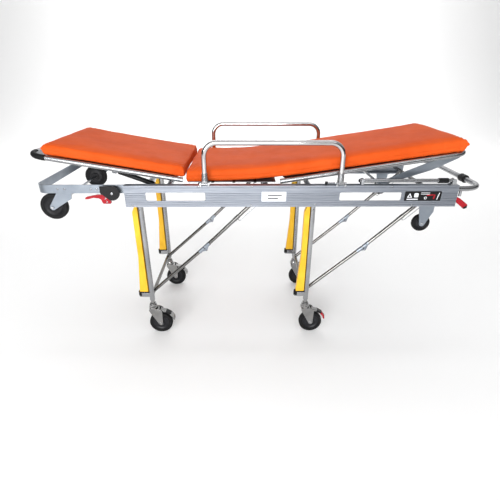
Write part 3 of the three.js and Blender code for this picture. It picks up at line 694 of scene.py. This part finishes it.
def foot_lever():
    low, high = box("foot_release_lever")
    outline = [(0.820, 0.721), (0.819, 0.733), (0.829, 0.737), (0.850, 0.727), (0.886, 0.701),
               (0.884, 0.686), (0.873, 0.682), (0.845, 0.703)]
    lever = Shape(RED, BLACK)
    lever.plate(outline, low.y, high.y)
    pad = [(0.868, 0.6875), (0.8865, 0.6995), (0.8855, 0.6855), (0.8735, 0.6805)]
    lever.plate(pad, low.y - 0.0006, high.y + 0.0006, 1)
    lever.finish("foot_paddle", "foot_release", "red_plastic", "foot_release_lever", edge=0.001)


rear_handle()
tail_wheels()
foot_lever()


# ---------- drip pole ----------
def drip_pole():
    low, high = box("drip_pole_bracket")
    top = pivot("drip_pole_raise")
    bracket = Shape(CHROME)
    bracket.block(low, (high.x, high.y, BEAM_TOP + 0.004))
    outline = [(top.x - 0.008, BEAM_TOP + 0.002), (top.x + 0.008, BEAM_TOP + 0.002)]
    outline += arc((top.x, high.z - 0.008), 0.008, 0, 180, 10)
    bracket.fork(outline, top.y, 0.011, LUG_HALF)
    bracket.finish("pole_bracket", "root", "chrome_steel", "drip_pole_bracket")
    far = box("drip_pole")[0].x
    pole = Shape(TUBE, BLACK, CHROME)
    pole.rod((top.x, top.y, top.z), (far, top.y, top.z), 0.008, 0)
    pole.rod((top.x - 0.024, top.y, top.z), (top.x - 0.065, top.y, top.z), 0.011, 1)
    pole.pin(top.x, top.z, top.y - 0.0085, top.y + 0.0085, 0.006, 2)
    pole.rod((far + 0.022, top.y, top.z), (far + 0.120, top.y, top.z), 0.0088, 2)
    pole.rod((far, top.y, top.z), (far - 0.004, top.y, top.z), 0.0078, 1, far_radius=0.005)
    pole.finish("drip_pole_tube", "drip_pole_body", "aluminium_tube", "drip_pole")
    clip = Shape(CHROME)
    clip_x = far + 0.012
    near, far = clip_x - 0.006, clip_x + 0.006
    clip.block((near, top.y - 0.0115, BEAM_TOP), (far, top.y + 0.0115, BEAM_TOP + 0.002))
    cheek = [(near, BEAM_TOP), (far, BEAM_TOP), (far, top.z + 0.009), (near, top.z + 0.009)]
    clip.fork(cheek, top.y, 0.0105, 0.001)
    clip.finish("pole_clip", "root", "chrome_steel")


drip_pole()


# ---------- bed sections ----------
BACK_PLACE = Matrix.Translation(pivot("backrest_tilt")) @ Matrix.Rotation(BACK_LEAN, 4, "Y")
LEG_PLACE = Matrix.Translation(pivot("leg_section_tilt")) @ Matrix.Rotation(-LEG_LEAN, 4, "Y")


def section_frame(piece, length, heading, bend, bars):
    tip = heading * length
    start = heading * 0.006
    route = rounded([(start, -RAIL_Y, 0), (tip, -RAIL_Y, 0), (tip, RAIL_Y, 0), (start, RAIL_Y, 0)], bend, 12)
    piece.tube(route, RAIL_RADIUS, 0)
    low, high = sorted((heading * 0.024, heading * (length - 0.003)))
    piece.slab(rounded_rect(low, 0.003 - RAIL_Y, high, RAIL_Y - 0.003, bend - 0.003, 8), 0.003, 0.006, 1)
    for place in bars:
        x = heading * place
        piece.block((x - 0.010, -RAIL_Y, -0.006), (x + 0.010, RAIL_Y, 0.004), 0)


def backrest_frame():
    piece = Shape(TUBE, SHEET, RUBBER, place=BACK_PLACE)
    section_frame(piece, BACK_LENGTH, -1, BACK_BEND, (0.120, 0.3186, 0.500))
    for side in SIDES.values():
        y = side * RAIL_Y
        corner = rounded([(-BACK_LENGTH + BACK_BEND + 0.012, y, 0), (-BACK_LENGTH, y, 0),
                          (-BACK_LENGTH, side * (RAIL_Y - BACK_BEND - 0.012), 0)], BACK_BEND, 12)
        piece.tube(corner, RAIL_RADIUS + 0.0016, 2)
    lug = [(-0.3406, 0.005), (-0.3286, -0.044), (-0.3266, -0.046), (-0.3106, -0.046), (-0.3086, -0.044),
           (-0.2966, 0.005)]
    piece.fork(lug, GAS_Y, LUG_GAP, LUG_HALF)
    piece.finish("backrest_tubes", "backrest", "aluminium_tube", "backrest_frame")


def leg_section_frame():
    piece = Shape(TUBE, SHEET, place=LEG_PLACE)
    section_frame(piece, LEG_LENGTH, 1, LEG_BEND, (0.160, 0.400, 0.640))
    piece.finish("leg_section_tubes", "leg_section", "aluminium_tube", "leg_section_frame")


def seat_deck():
    deck = Shape(SHEET, TUBE, BLACK)
    deck.block((-0.322, -0.246, 0.790), (0.054, 0.246, 0.793), 0)
    for x in (-0.270, 0.010):
        deck.block((x - 0.011, -0.289, 0.768), (x + 0.011, 0.289, 0.781), 1)
        deck.block((x - 0.008, -0.236, 0.779), (x + 0.008, 0.236, 0.791), 1)
    for x in (-0.215, -0.125, -0.035):
        deck.block((x - 0.006, -0.252, 0.7895), (x + 0.006, 0.252, 0.7945), 2)
    deck.finish("seat_deck_sheet", "root", "aluminium_tube", "seat_deck")


def leg_prop():
    """Two blades, widest past their middle, on a shaft between the beams."""
    foot = pivot("leg_prop_swing")
    low, high = box("leg_prop")
    reach = Vector((high.x - 0.007 - foot.x, 0, high.z - 0.007 - foot.z))
    lean = math.atan2(reach.z, reach.x)
    prop = Shape(BLUED, CHROME, place=Matrix.Translation(foot) @ Matrix.Rotation(-lean, 4, "Y"))
    swell, place = 0.0185, 0.222
    outline = arc((0, 0), 0.008, 90, 270, 10)
    outline += [(place * 0.55, -0.0145), (place, -swell), (place * 1.2, -0.0155)]
    outline += arc((reach.length, 0), 0.007, -90, 90, 10)
    outline += [(place * 1.2, 0.0155), (place, swell), (place * 0.55, 0.0145)]
    for side in SIDES.values():
        prop.plate(outline, side * (PROP_Y - 0.003), side * (PROP_Y + 0.003), 0)
    prop.pin(0, 0, low.y, high.y, 0.006, 1)
    prop.pin(reach.length, 0, -PROP_Y, PROP_Y, 0.005, 1)
    prop.finish("leg_prop_arms", "leg_prop", "aluminium_tube", "leg_prop")


def gas_spring():
    bottom = pivot("gas_spring_swing")
    stroke = Vector(JOINTS["gas_spring_stroke"]["axis"]).normalized()
    upper = BACK_PLACE @ Vector((-0.3186, 0, -0.035))
    upper = Vector((upper.x, GAS_Y, upper.z))
    span = (upper - bottom).length
    rod = Shape(CHROME)
    rod.pin(bottom.x, bottom.z, GAS_Y - GAS_EYE_HALF, GAS_Y + GAS_EYE_HALF, 0.007)
    rod.rod(bottom, bottom + stroke * (span - 0.0385), 0.004)
    rod.finish("gas_rod", "gas_spring_rod", "chrome_steel", "gas_spring_rod")
    cylinder = Shape(BLACK, CHROME)
    profile = [(0.0046, span - 0.178), (0.0105, span - 0.178), (0.011, span - 0.176), (0.011, span - 0.016),
               (0.0095, span - 0.014), (0.0046, span - 0.014)]
    cylinder.lathe(profile, bottom, stroke, 0, sides=32)
    cylinder.rod(bottom + stroke * (span - 0.016), bottom + stroke * (span - 0.005), 0.008, 1)
    cylinder.pin(upper.x, upper.z, GAS_Y - GAS_EYE_HALF, GAS_Y + GAS_EYE_HALF, 0.009, 1)
    cylinder.finish("gas_cylinder", "gas_spring_cylinder", "black_plastic", "gas_spring_cylinder")
    low, high = box("gas_spring_crossbar")
    bar_z = high.z - 0.012
    bar = Shape(TUBE)
    bar.pin(GAS_BAR_X, bar_z, low.y, high.y, 0.009)
    bar.fork(belt((GAS_BAR_X, bar_z, 0.012), (bottom.x, bottom.z, 0.009)), GAS_Y, LUG_GAP, LUG_HALF)
    bar.finish("gas_crossbar", "root", "aluminium_tube", "gas_spring_crossbar")


backrest_frame()
leg_section_frame()
seat_deck()
leg_prop()
gas_spring()


# ---------- side guards ----------
def side_guard(name, side):
    low, high = box(f"{name}_side_guard")
    top = high.z - GUARD_RADIUS
    hinge = pivot(f"{name}_guard_fold")
    y = side * GUARD_Y
    foot = hinge.z + 0.008
    front, rear = GUARD_X
    guard = Shape(BRIGHT, TUBE, CHROME)
    route = rounded([(front, y, foot), (front, y, top), (rear, y, top), (rear, y, foot)], GUARD_BEND, 16)
    guard.tube(route, GUARD_RADIUS, 0, sides=28)
    for x in GUARD_X:
        guard.rod((x, y, foot - 0.005), (x, y, foot + 0.034), 0.0145, 1, far_radius=0.0125)
        guard.block((x - 0.011, y - side * 0.008, hinge.z - 0.003), (x + 0.011, hinge.y, foot + 0.003), 1)
        guard.rod((x - 0.0124, hinge.y, hinge.z), (x + 0.0124, hinge.y, hinge.z), 0.0055, 1)
        guard.screw((x, y + side * 0.0135, foot + 0.018), (0, side, 0), 0.0036, 0.0018, 2)
    guard.finish(f"{name}_guard_rail", f"{name}_guard", "aluminium_tube", f"{name}_side_guard")
    latch = Shape(CHROME, BLACK)
    low, high = box(f"{name}_guard_latch")
    z = (low.z + high.z) / 2
    latch.rod((high.x, y, z), (low.x + 0.008, y, z), 0.004, 0)
    latch.rod((low.x + 0.010, y, z), (low.x, y, z), 0.007, 1, far_radius=0.0066)
    latch.finish(f"{name}_latch_bolt", f"{name}_latch", "chrome_steel", f"{name}_guard_latch")


for side_name, side_sign in SIDES.items():
    side_guard(side_name, side_sign)


# ---------- legs and braces ----------
def leg_frame(end):
    x, _, top = pivot(f"{end}_leg_fold")
    low, high = box(f"{end}_leg_frame")
    legs = Shape(TUBE, RUBBER, CHROME)
    legs.pin(x, top, low.y, high.y, 0.013)
    reach = x - low.x
    plate_low, plate_high = 0.213, 0.236
    for side in SIDES.values():
        y = side * LEG_Y
        legs.rod((x, y, low.z), (x, y, top), LEG_RADIUS)
        outline = belt((x - reach + 0.012, y, 0.0115), (x, y, 0.0116), 10)
        legs.slab(outline, plate_low, plate_high, 0)
        seat = belt((x - reach + 0.012, y, 0.0112), (x - 0.020, y, 0.0113), 10)
        legs.slab(seat, plate_high - 0.001, plate_high + 0.0062, 1)
        tip = arc((x - reach + 0.0122, y), 0.0125, 95, 265, 12)
        tip += [(x - reach + 0.016, y - 0.0125), (x - reach + 0.016, y + 0.0125)]
        legs.slab(tip, plate_low + 0.006, plate_high + 0.0058, 1)
        legs.screw((x, y + side * LEG_RADIUS, 0.665), (0, side, 0), 0.0045, 0.0022, 2)
    legs.finish(f"{end}_legs_tubes", f"{end}_legs", "aluminium_tube", f"{end}_leg_frame")
    for name, side in SIDES.items():
        node = f"{end}_{name}_leg_guard"
        low, high = box(node)
        outline = [(high.x, high.z), (high.x - 0.008, high.z), (high.x - 0.0235, 0.657),
                   (high.x - 0.0245, 0.650), (high.x - 0.0255, 0.430), (low.x, low.z), (high.x, low.z)]
        guard = Shape(YELLOW)
        guard.plate(outline, low.y, high.y)
        guard.finish(f"{end}_{name}_leg_cover", f"{end}_legs", "yellow_plastic", node, edge=0.0022)


def brace_geometry(end):
    """Foot, knee corner, knee pin and top of the brace in the XZ plane."""
    foot_x = pivot(f"{end}_leg_fold").x
    foot = Vector((foot_x, 0, box(f"{end}_lower_brace")[0].z + BRACE_RADIUS))
    pin = pivot(f"{end}_knee_fold")
    top = pivot(f"{end}_brace_swing")
    reach = pin - foot
    lean = math.atan2(reach.z, reach.x) + math.asin(KNEE_OFFSET / reach.length)
    along = math.sqrt(reach.length ** 2 - KNEE_OFFSET ** 2)
    corner = foot + Vector((math.cos(lean), 0, math.sin(lean))) * along
    return foot, corner, pin, top


def braces(end):
    foot, corner, pin, top = brace_geometry(end)
    down = (foot - corner).normalized()
    up = (top - corner).normalized()
    # The brace tubes take the darker brace colour, which is painted shade.
    lower = Shape(PAINTED_SHADE_BRACE, BLUED, CHROME)
    lower.pin(foot.x, foot.z, -0.2215, 0.2215, BRACE_RADIUS)
    upper = Shape(PAINTED_SHADE_BRACE, BLUED, CHROME)
    sleeve_low, sleeve_high = box(f"{end}_upper_brace")
    upper.pin(top.x, top.z, sleeve_low.y, sleeve_high.y, 0.009)
    for side in SIDES.values():
        y = Vector((0, side * BRACE_Y, 0))
        lower.rod(foot + y, corner + y + down * 0.001, BRACE_RADIUS)
        upper.rod(corner + y + up * 0.001, top + y, BRACE_RADIUS)
        root = corner + down * 0.022
        outline = belt((root.x, root.z, 0.006), (pin.x, pin.z, 0.005))
        lower.plate(outline, y.y - 0.0052, y.y + 0.0052, 1)
        lower.rod(corner + y + down * 0.034, corner + y + down * 0.002, BRACE_RADIUS + 0.0009, 1)
        root = corner + up * 0.022
        outline = belt((root.x, root.z, 0.006), (pin.x, pin.z, 0.005))
        for face in (-1, 1):
            upper.plate(outline, y.y + face * 0.006, y.y + face * 0.009, 1)
            upper.screw(pin + y + Vector((0, face * 0.009, 0)), (0, face, 0), 0.0042, 0.002, 2)
        upper.rod(corner + y + up * 0.002, corner + y + up * 0.034, BRACE_RADIUS + 0.0009, 1)
        wire_side = Vector((up.z, 0, -up.x))
        wire = [top + y - up * 0.052 + wire_side * 0.006, top + y - up * 0.052 + wire_side * 0.022,
                top + y - up * 0.175 + wire_side * 0.022, top + y - up * 0.175 + wire_side * 0.006]
        upper.tube(rounded(wire, 0.006, 5), 0.0016, 2, sides=10)
        upper.rod(top + y - up * 0.190, top + y - up * 0.160, BRACE_RADIUS + 0.0012, 0)
    lower.finish(f"{end}_lower_brace_tubes", f"{end}_lower_brace", "aluminium_tube", f"{end}_lower_brace")
    upper.finish(f"{end}_upper_brace_tubes", f"{end}_upper_brace", "aluminium_tube", f"{end}_upper_brace")


# ---------- castors ----------
def castor(end, name):
    x, y, _ = pivot(f"{end}_{name}_castor_swivel")
    axle = pivot(f"{end}_{name}_castor_roll")
    body = f"{end}_{name}_castor"
    here = Matrix.Translation((x, y, 0))
    fork = Shape(FORK, place=here)
    head = [(0.0, 0.136), (0.0, 0.168), (0.014, 0.168), (0.0175, 0.165), (0.018, 0.158), (0.0205, 0.154),
            (0.021, 0.143), (0.018, 0.138), (0.014, 0.136)]
    fork.lathe([(max(r, 0.0005), z) for r, z in head], (0, 0, 0), (0, 0, 1), sides=36)
    fork.rod((0, 0, 0.160), (0, 0, 0.1897), 0.010)
    fork.lathe([(0.009, 0.168), (0.0155, 0.168), (0.0155, 0.172), (0.013, 0.175), (0.009, 0.175)],
               (0, 0, 0), (0, 0, 1), sides=6)
    crown = [(-0.019, 0.137), (0.030, 0.137), (0.024, 0.144), (-0.019, 0.144)]
    fork.plate(crown, -0.0175, 0.0175)
    axle_place = (CASTOR_TRAIL, axle.z)
    cheek = [(-0.019, 0.144), (-0.0195, 0.134), (-0.017, 0.128)]
    cheek += arc(axle_place, 0.0105, 200, 362, 12)
    cheek += [(0.045, 0.122), (0.044, 0.133), (0.036, 0.140), (0.024, 0.144)]
    for face in (-1, 1):
        fork.plate(cheek, face * 0.017, face * 0.020)
        fork.screw((CASTOR_TRAIL, face * 0.020, axle.z), (0, face, 0), 0.0062, 0.003)
    fork.pin(CASTOR_TRAIL, axle.z, -0.022, 0.022, 0.004)
    fork.finish(f"{body}_housing", body, "chrome_steel", f"{end}_{name}_castor_fork")
    wheel(f"{body}_tyre", f"{end}_{name}_wheel", f"{end}_{name}_castor_wheel")
    pedal(end, name, here)


def pedal(end, name, here):
    """Brake pedal: a steel band that curves down behind the tyre to a ribbed tip."""
    tip = RED if end == "rear" else FORK
    piece = Shape(FORK, BLACK, tip, place=here)
    x, z = 0.036, 0.130
    piece.pin(x, z, -0.0164, 0.0164, 0.005)
    under = [(0.032, 0.125), (0.058, 0.1195), (0.079, 0.107), (0.0915, 0.091), (0.097, 0.076)]
    back = [(0.036, 0.135), (0.064, 0.128), (0.088, 0.113), (0.100, 0.095), (0.1035, 0.075)]
    piece.plate(under[:2] + back[1::-1], -0.012, 0.012, 0)
    piece.plate(under[1:3] + back[2:0:-1], -0.0125, 0.0125, 1)
    piece.plate(under[2:] + back[:1:-1], -0.013, 0.013, 2)
    rib = 1 if end == "rear" else 0
    for k in range(3):
        height = 0.080 + 0.006 * k
        piece.block((0.099, -0.0115, height), (0.1036 - 0.0007 * k, 0.0115, height + 0.0025), rib)
    piece.finish(f"{end}_{name}_pedal_pad", f"{end}_{name}_pedal", "red_plastic", f"{end}_{name}_brake_pedal")


for end_name in ENDS:
    leg_frame(end_name)
    braces(end_name)
    for side_name in SIDES:
        castor(end_name, side_name)


# ---------- blank plates on the beam ----------
def beam_plates():
    y = -BEAM_OUTER
    label = Shape(WHITE, HUB)
    label.plate(rounded_rect(-0.008, 0.7205, 0.096, 0.7625, 0.002, 4), y - 0.0012, y + 0.0016, 0)
    for z, width in ((0.7475, 0.060), (0.7335, 0.044)):
        label.plate(rounded_rect(0.018, z - 0.0022, 0.018 + width, z + 0.0022, 0.001, 3), y - 0.0015, y, 1)
    label.finish("blank_label_plate", "root", "black_plastic", edge=0.0003)
    sign = Shape(BLACK, WHITE, RED)
    sign.plate(rounded_rect(0.600, 0.722, 0.756, 0.764, 0.003, 4), y - 0.0014, y + 0.0016, 0)
    face = (y - 0.0018, y)
    sign.plate([(0.610, 0.737), (0.632, 0.737), (0.621, 0.756)], *face, 1)
    sign.plate([(0.6155, 0.7395), (0.6265, 0.7395), (0.621, 0.7495)], y - 0.0021, y, 0)
    sign.plate(rounded_rect(0.640, 0.738, 0.658, 0.756, 0.004, 4), *face, 1)
    sign.plate(rounded_rect(0.610, 0.7275, 0.658, 0.7315, 0.001, 3), *face, 1)
    for z in (0.7575, 0.7515):
        sign.plate(rounded_rect(0.668, z - 0.001, 0.706, z + 0.001, 0.0008, 3), *face, 1)
    sign.plate(arc((0.690, 0.735), 0.006, 0, 350, 18), *face, 1)
    sign.plate(arc((0.690, 0.735), 0.0035, 0, 350, 18), y - 0.0021, y, 0)
    sign.plate([(0.694, 0.744), (0.726, 0.747), (0.726, 0.751), (0.694, 0.750)], *face, 2)
    sign.plate([(0.722, 0.731), (0.728, 0.731), (0.731, 0.749), (0.725, 0.749)], *face, 2)
    sign.plate([(0.738, 0.728), (0.741, 0.728), (0.748, 0.758), (0.745, 0.758)], *face, 1)
    sign.finish("pictogram_plate", "root", "black_plastic", edge=0.0002)


beam_plates()


# ---------- pads ----------
SEAT_BOTTOM = 0.7965
BACK_PAD_BOTTOM = 0.0112
PAD_THICK = 0.049
BACK_PAD_THICK = 0.042
PAD_SEAM = 0.020
PAD_CROWN = 0.004
PAD_BULGE = 0.003
PAD_VOXEL = 0.0075
PAD_SWELL = 0.006
SIM_FRAMES = 20


def smooth_step(low, high, value):
    t = min(max((value - low) / (high - low), 0.0), 1.0)
    return t * t * (3 - 2 * t)


def leg_line(x):
    """Height of the leg section's pad bottom at a station along the cot."""
    hinge = pivot("leg_section_tilt")
    return hinge.z + (x - hinge.x) * math.tan(LEG_LEAN) + 0.0118 / math.cos(LEG_LEAN)


def mattress_bottom(x):
    """The mattress lies flat on the seat, then bends up with the leg section."""
    soft = 0.012
    rise = leg_line(x) - SEAT_BOTTOM
    return SEAT_BOTTOM + soft * math.log1p(math.exp(rise / soft)) - 0.002 * (1 - smooth_step(-0.1, 0.1, x))


def pad_ring(x, bottom, thick, half, lean):
    """Cross section of a pad: flat underneath, crowned on top, sides bulging round the seam."""
    ring = []
    across = 16
    for k in range(across + 1):
        t = -1 + 2 * k / across
        ring.append((half * 0.985 * t, 0.0))
    for t in (0.25, 0.5, 0.75):
        ring.append((half + PAD_BULGE * math.sin(math.pi * t), thick * t))
    for k in range(across + 1):
        t = 1 - 2 * k / across
        ring.append((half * 0.985 * t, thick + PAD_CROWN * (1 - t ** 4)))
    for t in (0.75, 0.5, 0.25):
        ring.append((-half - PAD_BULGE * math.sin(math.pi * t), thick * t))
    return [(x - lean * height, y, bottom + height) for y, height in ring]


def mesh_object(name, rings):
    builder = Shape(VINYL).loft(rings)
    return in_scene(name, outward_mesh(name, builder.vertices, builder.faces))


def baked(piece):
    """Applies the piece's modifiers to its mesh."""
    graph = bpy.context.evaluated_depsgraph_get()
    mesh = bpy.data.meshes.new_from_object(piece.evaluated_get(graph))
    piece.modifiers.clear()
    piece.data = mesh
    return mesh


def inflate(piece):
    """Fills the pad by cloth pressure; no point moves further than the swell."""
    before = [vertex.co.copy() for vertex in piece.data.vertices]
    cloth = piece.modifiers.new("inflate", "CLOTH")
    cloth.settings.use_pressure = True
    cloth.settings.uniform_pressure_force = 4.0
    cloth.settings.quality = 4
    cloth.settings.effector_weights.gravity = 0.0
    cloth.collision_settings.use_collision = False
    for step in range(1, SIM_FRAMES + 1):
        bpy.context.scene.frame_set(step)
    mesh = baked(piece)
    bpy.context.scene.frame_set(1)
    for vertex, old in zip(mesh.vertices, before):
        shift = vertex.co - old
        if shift.length > PAD_SWELL:
            vertex.co = old + shift * (PAD_SWELL / shift.length)


def soften(piece):
    """Even mesh, rounded edges, then the cushion's filling and one subdivision."""
    remesh = piece.modifiers.new("remesh", "REMESH")
    remesh.mode = "VOXEL"
    remesh.voxel_size = PAD_VOXEL
    baked(piece)
    relax = piece.modifiers.new("relax", "SMOOTH")
    relax.factor = 0.5
    relax.iterations = 3
    baked(piece)
    inflate(piece)
    fine = piece.modifiers.new("fine", "SUBSURF")
    fine.levels = 1
    fine.render_levels = 1
    return baked(piece)


def dress(mesh, height_of, low_end, high_end, ear_end, reach):
    """Seam round the sides, wrinkles that fan from the corners, slow waves over the top and
    corners pulled out by the reach at the eared end."""
    normals = [vertex.normal.copy() for vertex in mesh.vertices]
    for vertex, normal in zip(mesh.vertices, normals):
        s, y, _ = vertex.co
        h = height_of(vertex.co)
        side = smooth_step(0.55, 0.9, max(abs(normal.y), abs(normal.x)))
        top = smooth_step(0.6, 0.95, normal.z)
        seam = math.exp(-((h - PAD_SEAM) / 0.0030) ** 2)
        vertex.co -= normal * 0.0034 * seam * side
        fold = noise.noise(Vector((s * 30, y * 9, h * 46)))
        pleat = noise.noise(Vector((s * 62, y * 20 + 7, h * 12)))
        vertex.co += normal * side * (0.0022 * fold + 0.0014 * pleat)
        wave = noise.noise(Vector((s * 5.5, y * 7.5, 3.1)))
        drag = noise.noise(Vector((s * 16 + y * 9, y * 5, 8.7)))
        vertex.co += normal * top * (0.0018 * wave + 0.0007 * drag)
        edge = min(abs(s - low_end), abs(s - high_end))
        near_corner = math.exp(-((edge / 0.07) ** 2) - ((PAD_HALF_WIDTH - abs(y)) / 0.07) ** 2)
        fan = math.sin((s * 1.3 + abs(y)) * 210)
        vertex.co += normal * near_corner * 0.0013 * fan
        tip = math.exp(-((s - ear_end) / 0.016) ** 2 - ((PAD_HALF_WIDTH - abs(y)) / 0.018) ** 2)
        tip *= math.exp(-((h - PAD_SEAM - 0.008) / 0.011) ** 2)
        vertex.co += Vector((math.copysign(0.8, ear_end), math.copysign(0.5, y), 0)) * reach * tip


def mattress():
    """Seat and leg pad in one piece, bending over the leg hinge."""
    low = box("seat_pad")[0].x - 0.0168
    hinge = pivot("leg_section_tilt")
    foot = (LEG_PLACE @ Vector((LEG_LENGTH, 0, 0.014))).x - 0.002
    stations = 90
    rings = []
    for k in range(stations + 1):
        t = k / stations
        x = low + (foot - low) * t
        bottom = mattress_bottom(x)
        lean = math.tan(LEG_LEAN) * smooth_step(hinge.x - 0.10, hinge.x + 0.08, x)
        head_lean = -0.10 * (1 - smooth_step(low, low + 0.05, x))
        end = min(t, 1 - t)
        pull = 0.004 * smooth_step(0, 0.35, end)
        half = PAD_HALF_WIDTH - pull + 0.003 * (1 - smooth_step(0, 0.03, 1 - t))
        rings.append(pad_ring(x, bottom, PAD_THICK, half, lean + head_lean))
    piece = mesh_object("mattress", rings)
    mesh = soften(piece)
    dress(mesh, lambda co: co.z - mattress_bottom(co.x), low, foot, foot, 0.020)
    finish_pad(mesh)
    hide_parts("seat_pad", "leg_section_pad")
    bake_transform(piece)


def back_pad():
    """Pad of the backrest, shaped in the backrest's flat frame and then leaned with it."""
    near, far = 0.0058, -(BACK_LENGTH - 0.054)
    stations = 54
    rings = []
    for k in range(stations + 1):
        t = k / stations
        x = near + (far - near) * t
        pull = 0.004 * smooth_step(0, 0.35, min(t, 1 - t))
        nose = 0.22 * (1 - smooth_step(0, 0.06, t))
        rings.append(pad_ring(x, BACK_PAD_BOTTOM, BACK_PAD_THICK, PAD_HALF_WIDTH - pull, nose))
    piece = mesh_object("back_pad", rings)
    mesh = soften(piece)
    dress(mesh, lambda co: co.z - BACK_PAD_BOTTOM, near, far, far, 0.010)
    mesh.transform(BACK_PLACE)
    finish_pad(mesh)
    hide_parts("backrest_pad")
    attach(piece, "backrest")
    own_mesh(piece)


def finish_pad(mesh):
    mesh.materials.clear()
    mesh.materials.append(VINYL)
    mesh.shade_smooth()


mattress()
back_pad()


# ---------- floor, light and camera ----------
def backdrop():
    """Pale studio sweep: a floor that curves up far behind the cot."""
    profile = [(-6.0, 0.0), (5.0, 0.0)]
    profile += [(5.0 + 3.0 * math.sin(t), 3.0 - 3.0 * math.cos(t))
                for t in [math.pi / 2 * k / 12 for k in range(1, 13)]]
    profile.append((8.0, 9.0))
    vertices = [(x, y, z) for y, z in profile for x in (-14.0, 14.0)]
    faces = [[2 * k, 2 * k + 1, 2 * k + 3, 2 * k + 2] for k in range(len(profile) - 1)]
    mesh = bpy.data.meshes.new("studio_sweep")
    mesh.from_pydata(vertices, [], faces)
    mesh.shade_smooth()
    finish = Finish("pale_sweep")
    finish.colour(srgb(250, 250, 250), srgb(253, 253, 253), finish.noise(0.4, 2))
    finish.socket(Roughness=0.9)
    mesh.materials.append(finish.material)
    in_scene("studio_sweep", mesh)


def softbox(name, place, target, size, power):
    light = bpy.data.lights.new(name, "AREA")
    light.shape = "RECTANGLE"
    light.size, light.size_y = size
    light.energy = power
    lamp = in_scene(name, light)
    lamp.location = place
    lamp.rotation_euler = (Vector(target) - Vector(place)).to_track_quat("-Z", "Y").to_euler()


def studio_world():
    """Soft surroundings: bright overhead, darker near the horizon so metal shows its form."""
    world = bpy.data.worlds.new("studio")
    world.use_nodes = True
    nodes, links = world.node_tree.nodes, world.node_tree.links
    place = nodes.new("ShaderNodeTexCoord")
    split = nodes.new("ShaderNodeSeparateXYZ")
    ramp = nodes.new("ShaderNodeValToRGB")
    stops = [(0.0, 0.60), (0.49, 0.45), (0.52, 0.10), (0.61, 0.10), (0.72, 0.85), (1.0, 1.0)]
    ramp.color_ramp.elements[0].position, ramp.color_ramp.elements[1].position = stops[0][0], stops[-1][0]
    for position, _ in stops[1:-1]:
        ramp.color_ramp.elements.new(position)
    for element, (_, level) in zip(ramp.color_ramp.elements, stops):
        element.color = (level, level, level, 1)
    spread = nodes.new("ShaderNodeMapRange")
    spread.inputs["From Min"].default_value = -1.0
    links.new(place.outputs["Generated"], split.inputs["Vector"])
    links.new(split.outputs["Z"], spread.inputs["Value"])
    links.new(spread.outputs["Result"], ramp.inputs["Fac"])
    links.new(ramp.outputs["Color"], nodes["Background"].inputs["Color"])
    nodes["Background"].inputs["Strength"].default_value = 0.5
    bpy.context.scene.world = world


def camera():
    pitch, yaw, roll = (math.radians(angle) for angle in (25.98, 0.99, 0.22))
    ahead = Vector((math.sin(yaw) * math.cos(pitch), math.cos(yaw) * math.cos(pitch), -math.sin(pitch)))
    across = Vector((math.cos(yaw), -math.sin(yaw), 0))
    above = across.cross(ahead)
    right = across * math.cos(roll) + above * math.sin(roll)
    up = above * math.cos(roll) - across * math.sin(roll)
    data = bpy.data.cameras.new("camera")
    data.lens = 26.78
    data.sensor_width = 36.0
    holder = in_scene("camera", data)
    turn = Matrix((right, up, -ahead)).transposed().to_4x4()
    holder.matrix_world = Matrix.Translation((-0.082, -1.804, 1.227)) @ turn
    bpy.context.scene.camera = holder


backdrop()
studio_world()
softbox("key", (-1.0, -4.4, 1.5), (0, 0, 0.6), (3.6, 1.5), 185)
softbox("top", (0.4, 0.6, 4.2), (0, 0, 0.6), (4.5, 3.0), 28)
softbox("floor_wash", (0.0, -3.2, 3.6), (0, -0.9, 0.0), (5.0, 1.0), 40)
softbox("back_sweep", (0.0, 4.2, 5.0), (0, 7.0, 0.5), (7.0, 2.0), 300)
camera()
bpy.context.scene.view_settings.view_transform = "Standard"
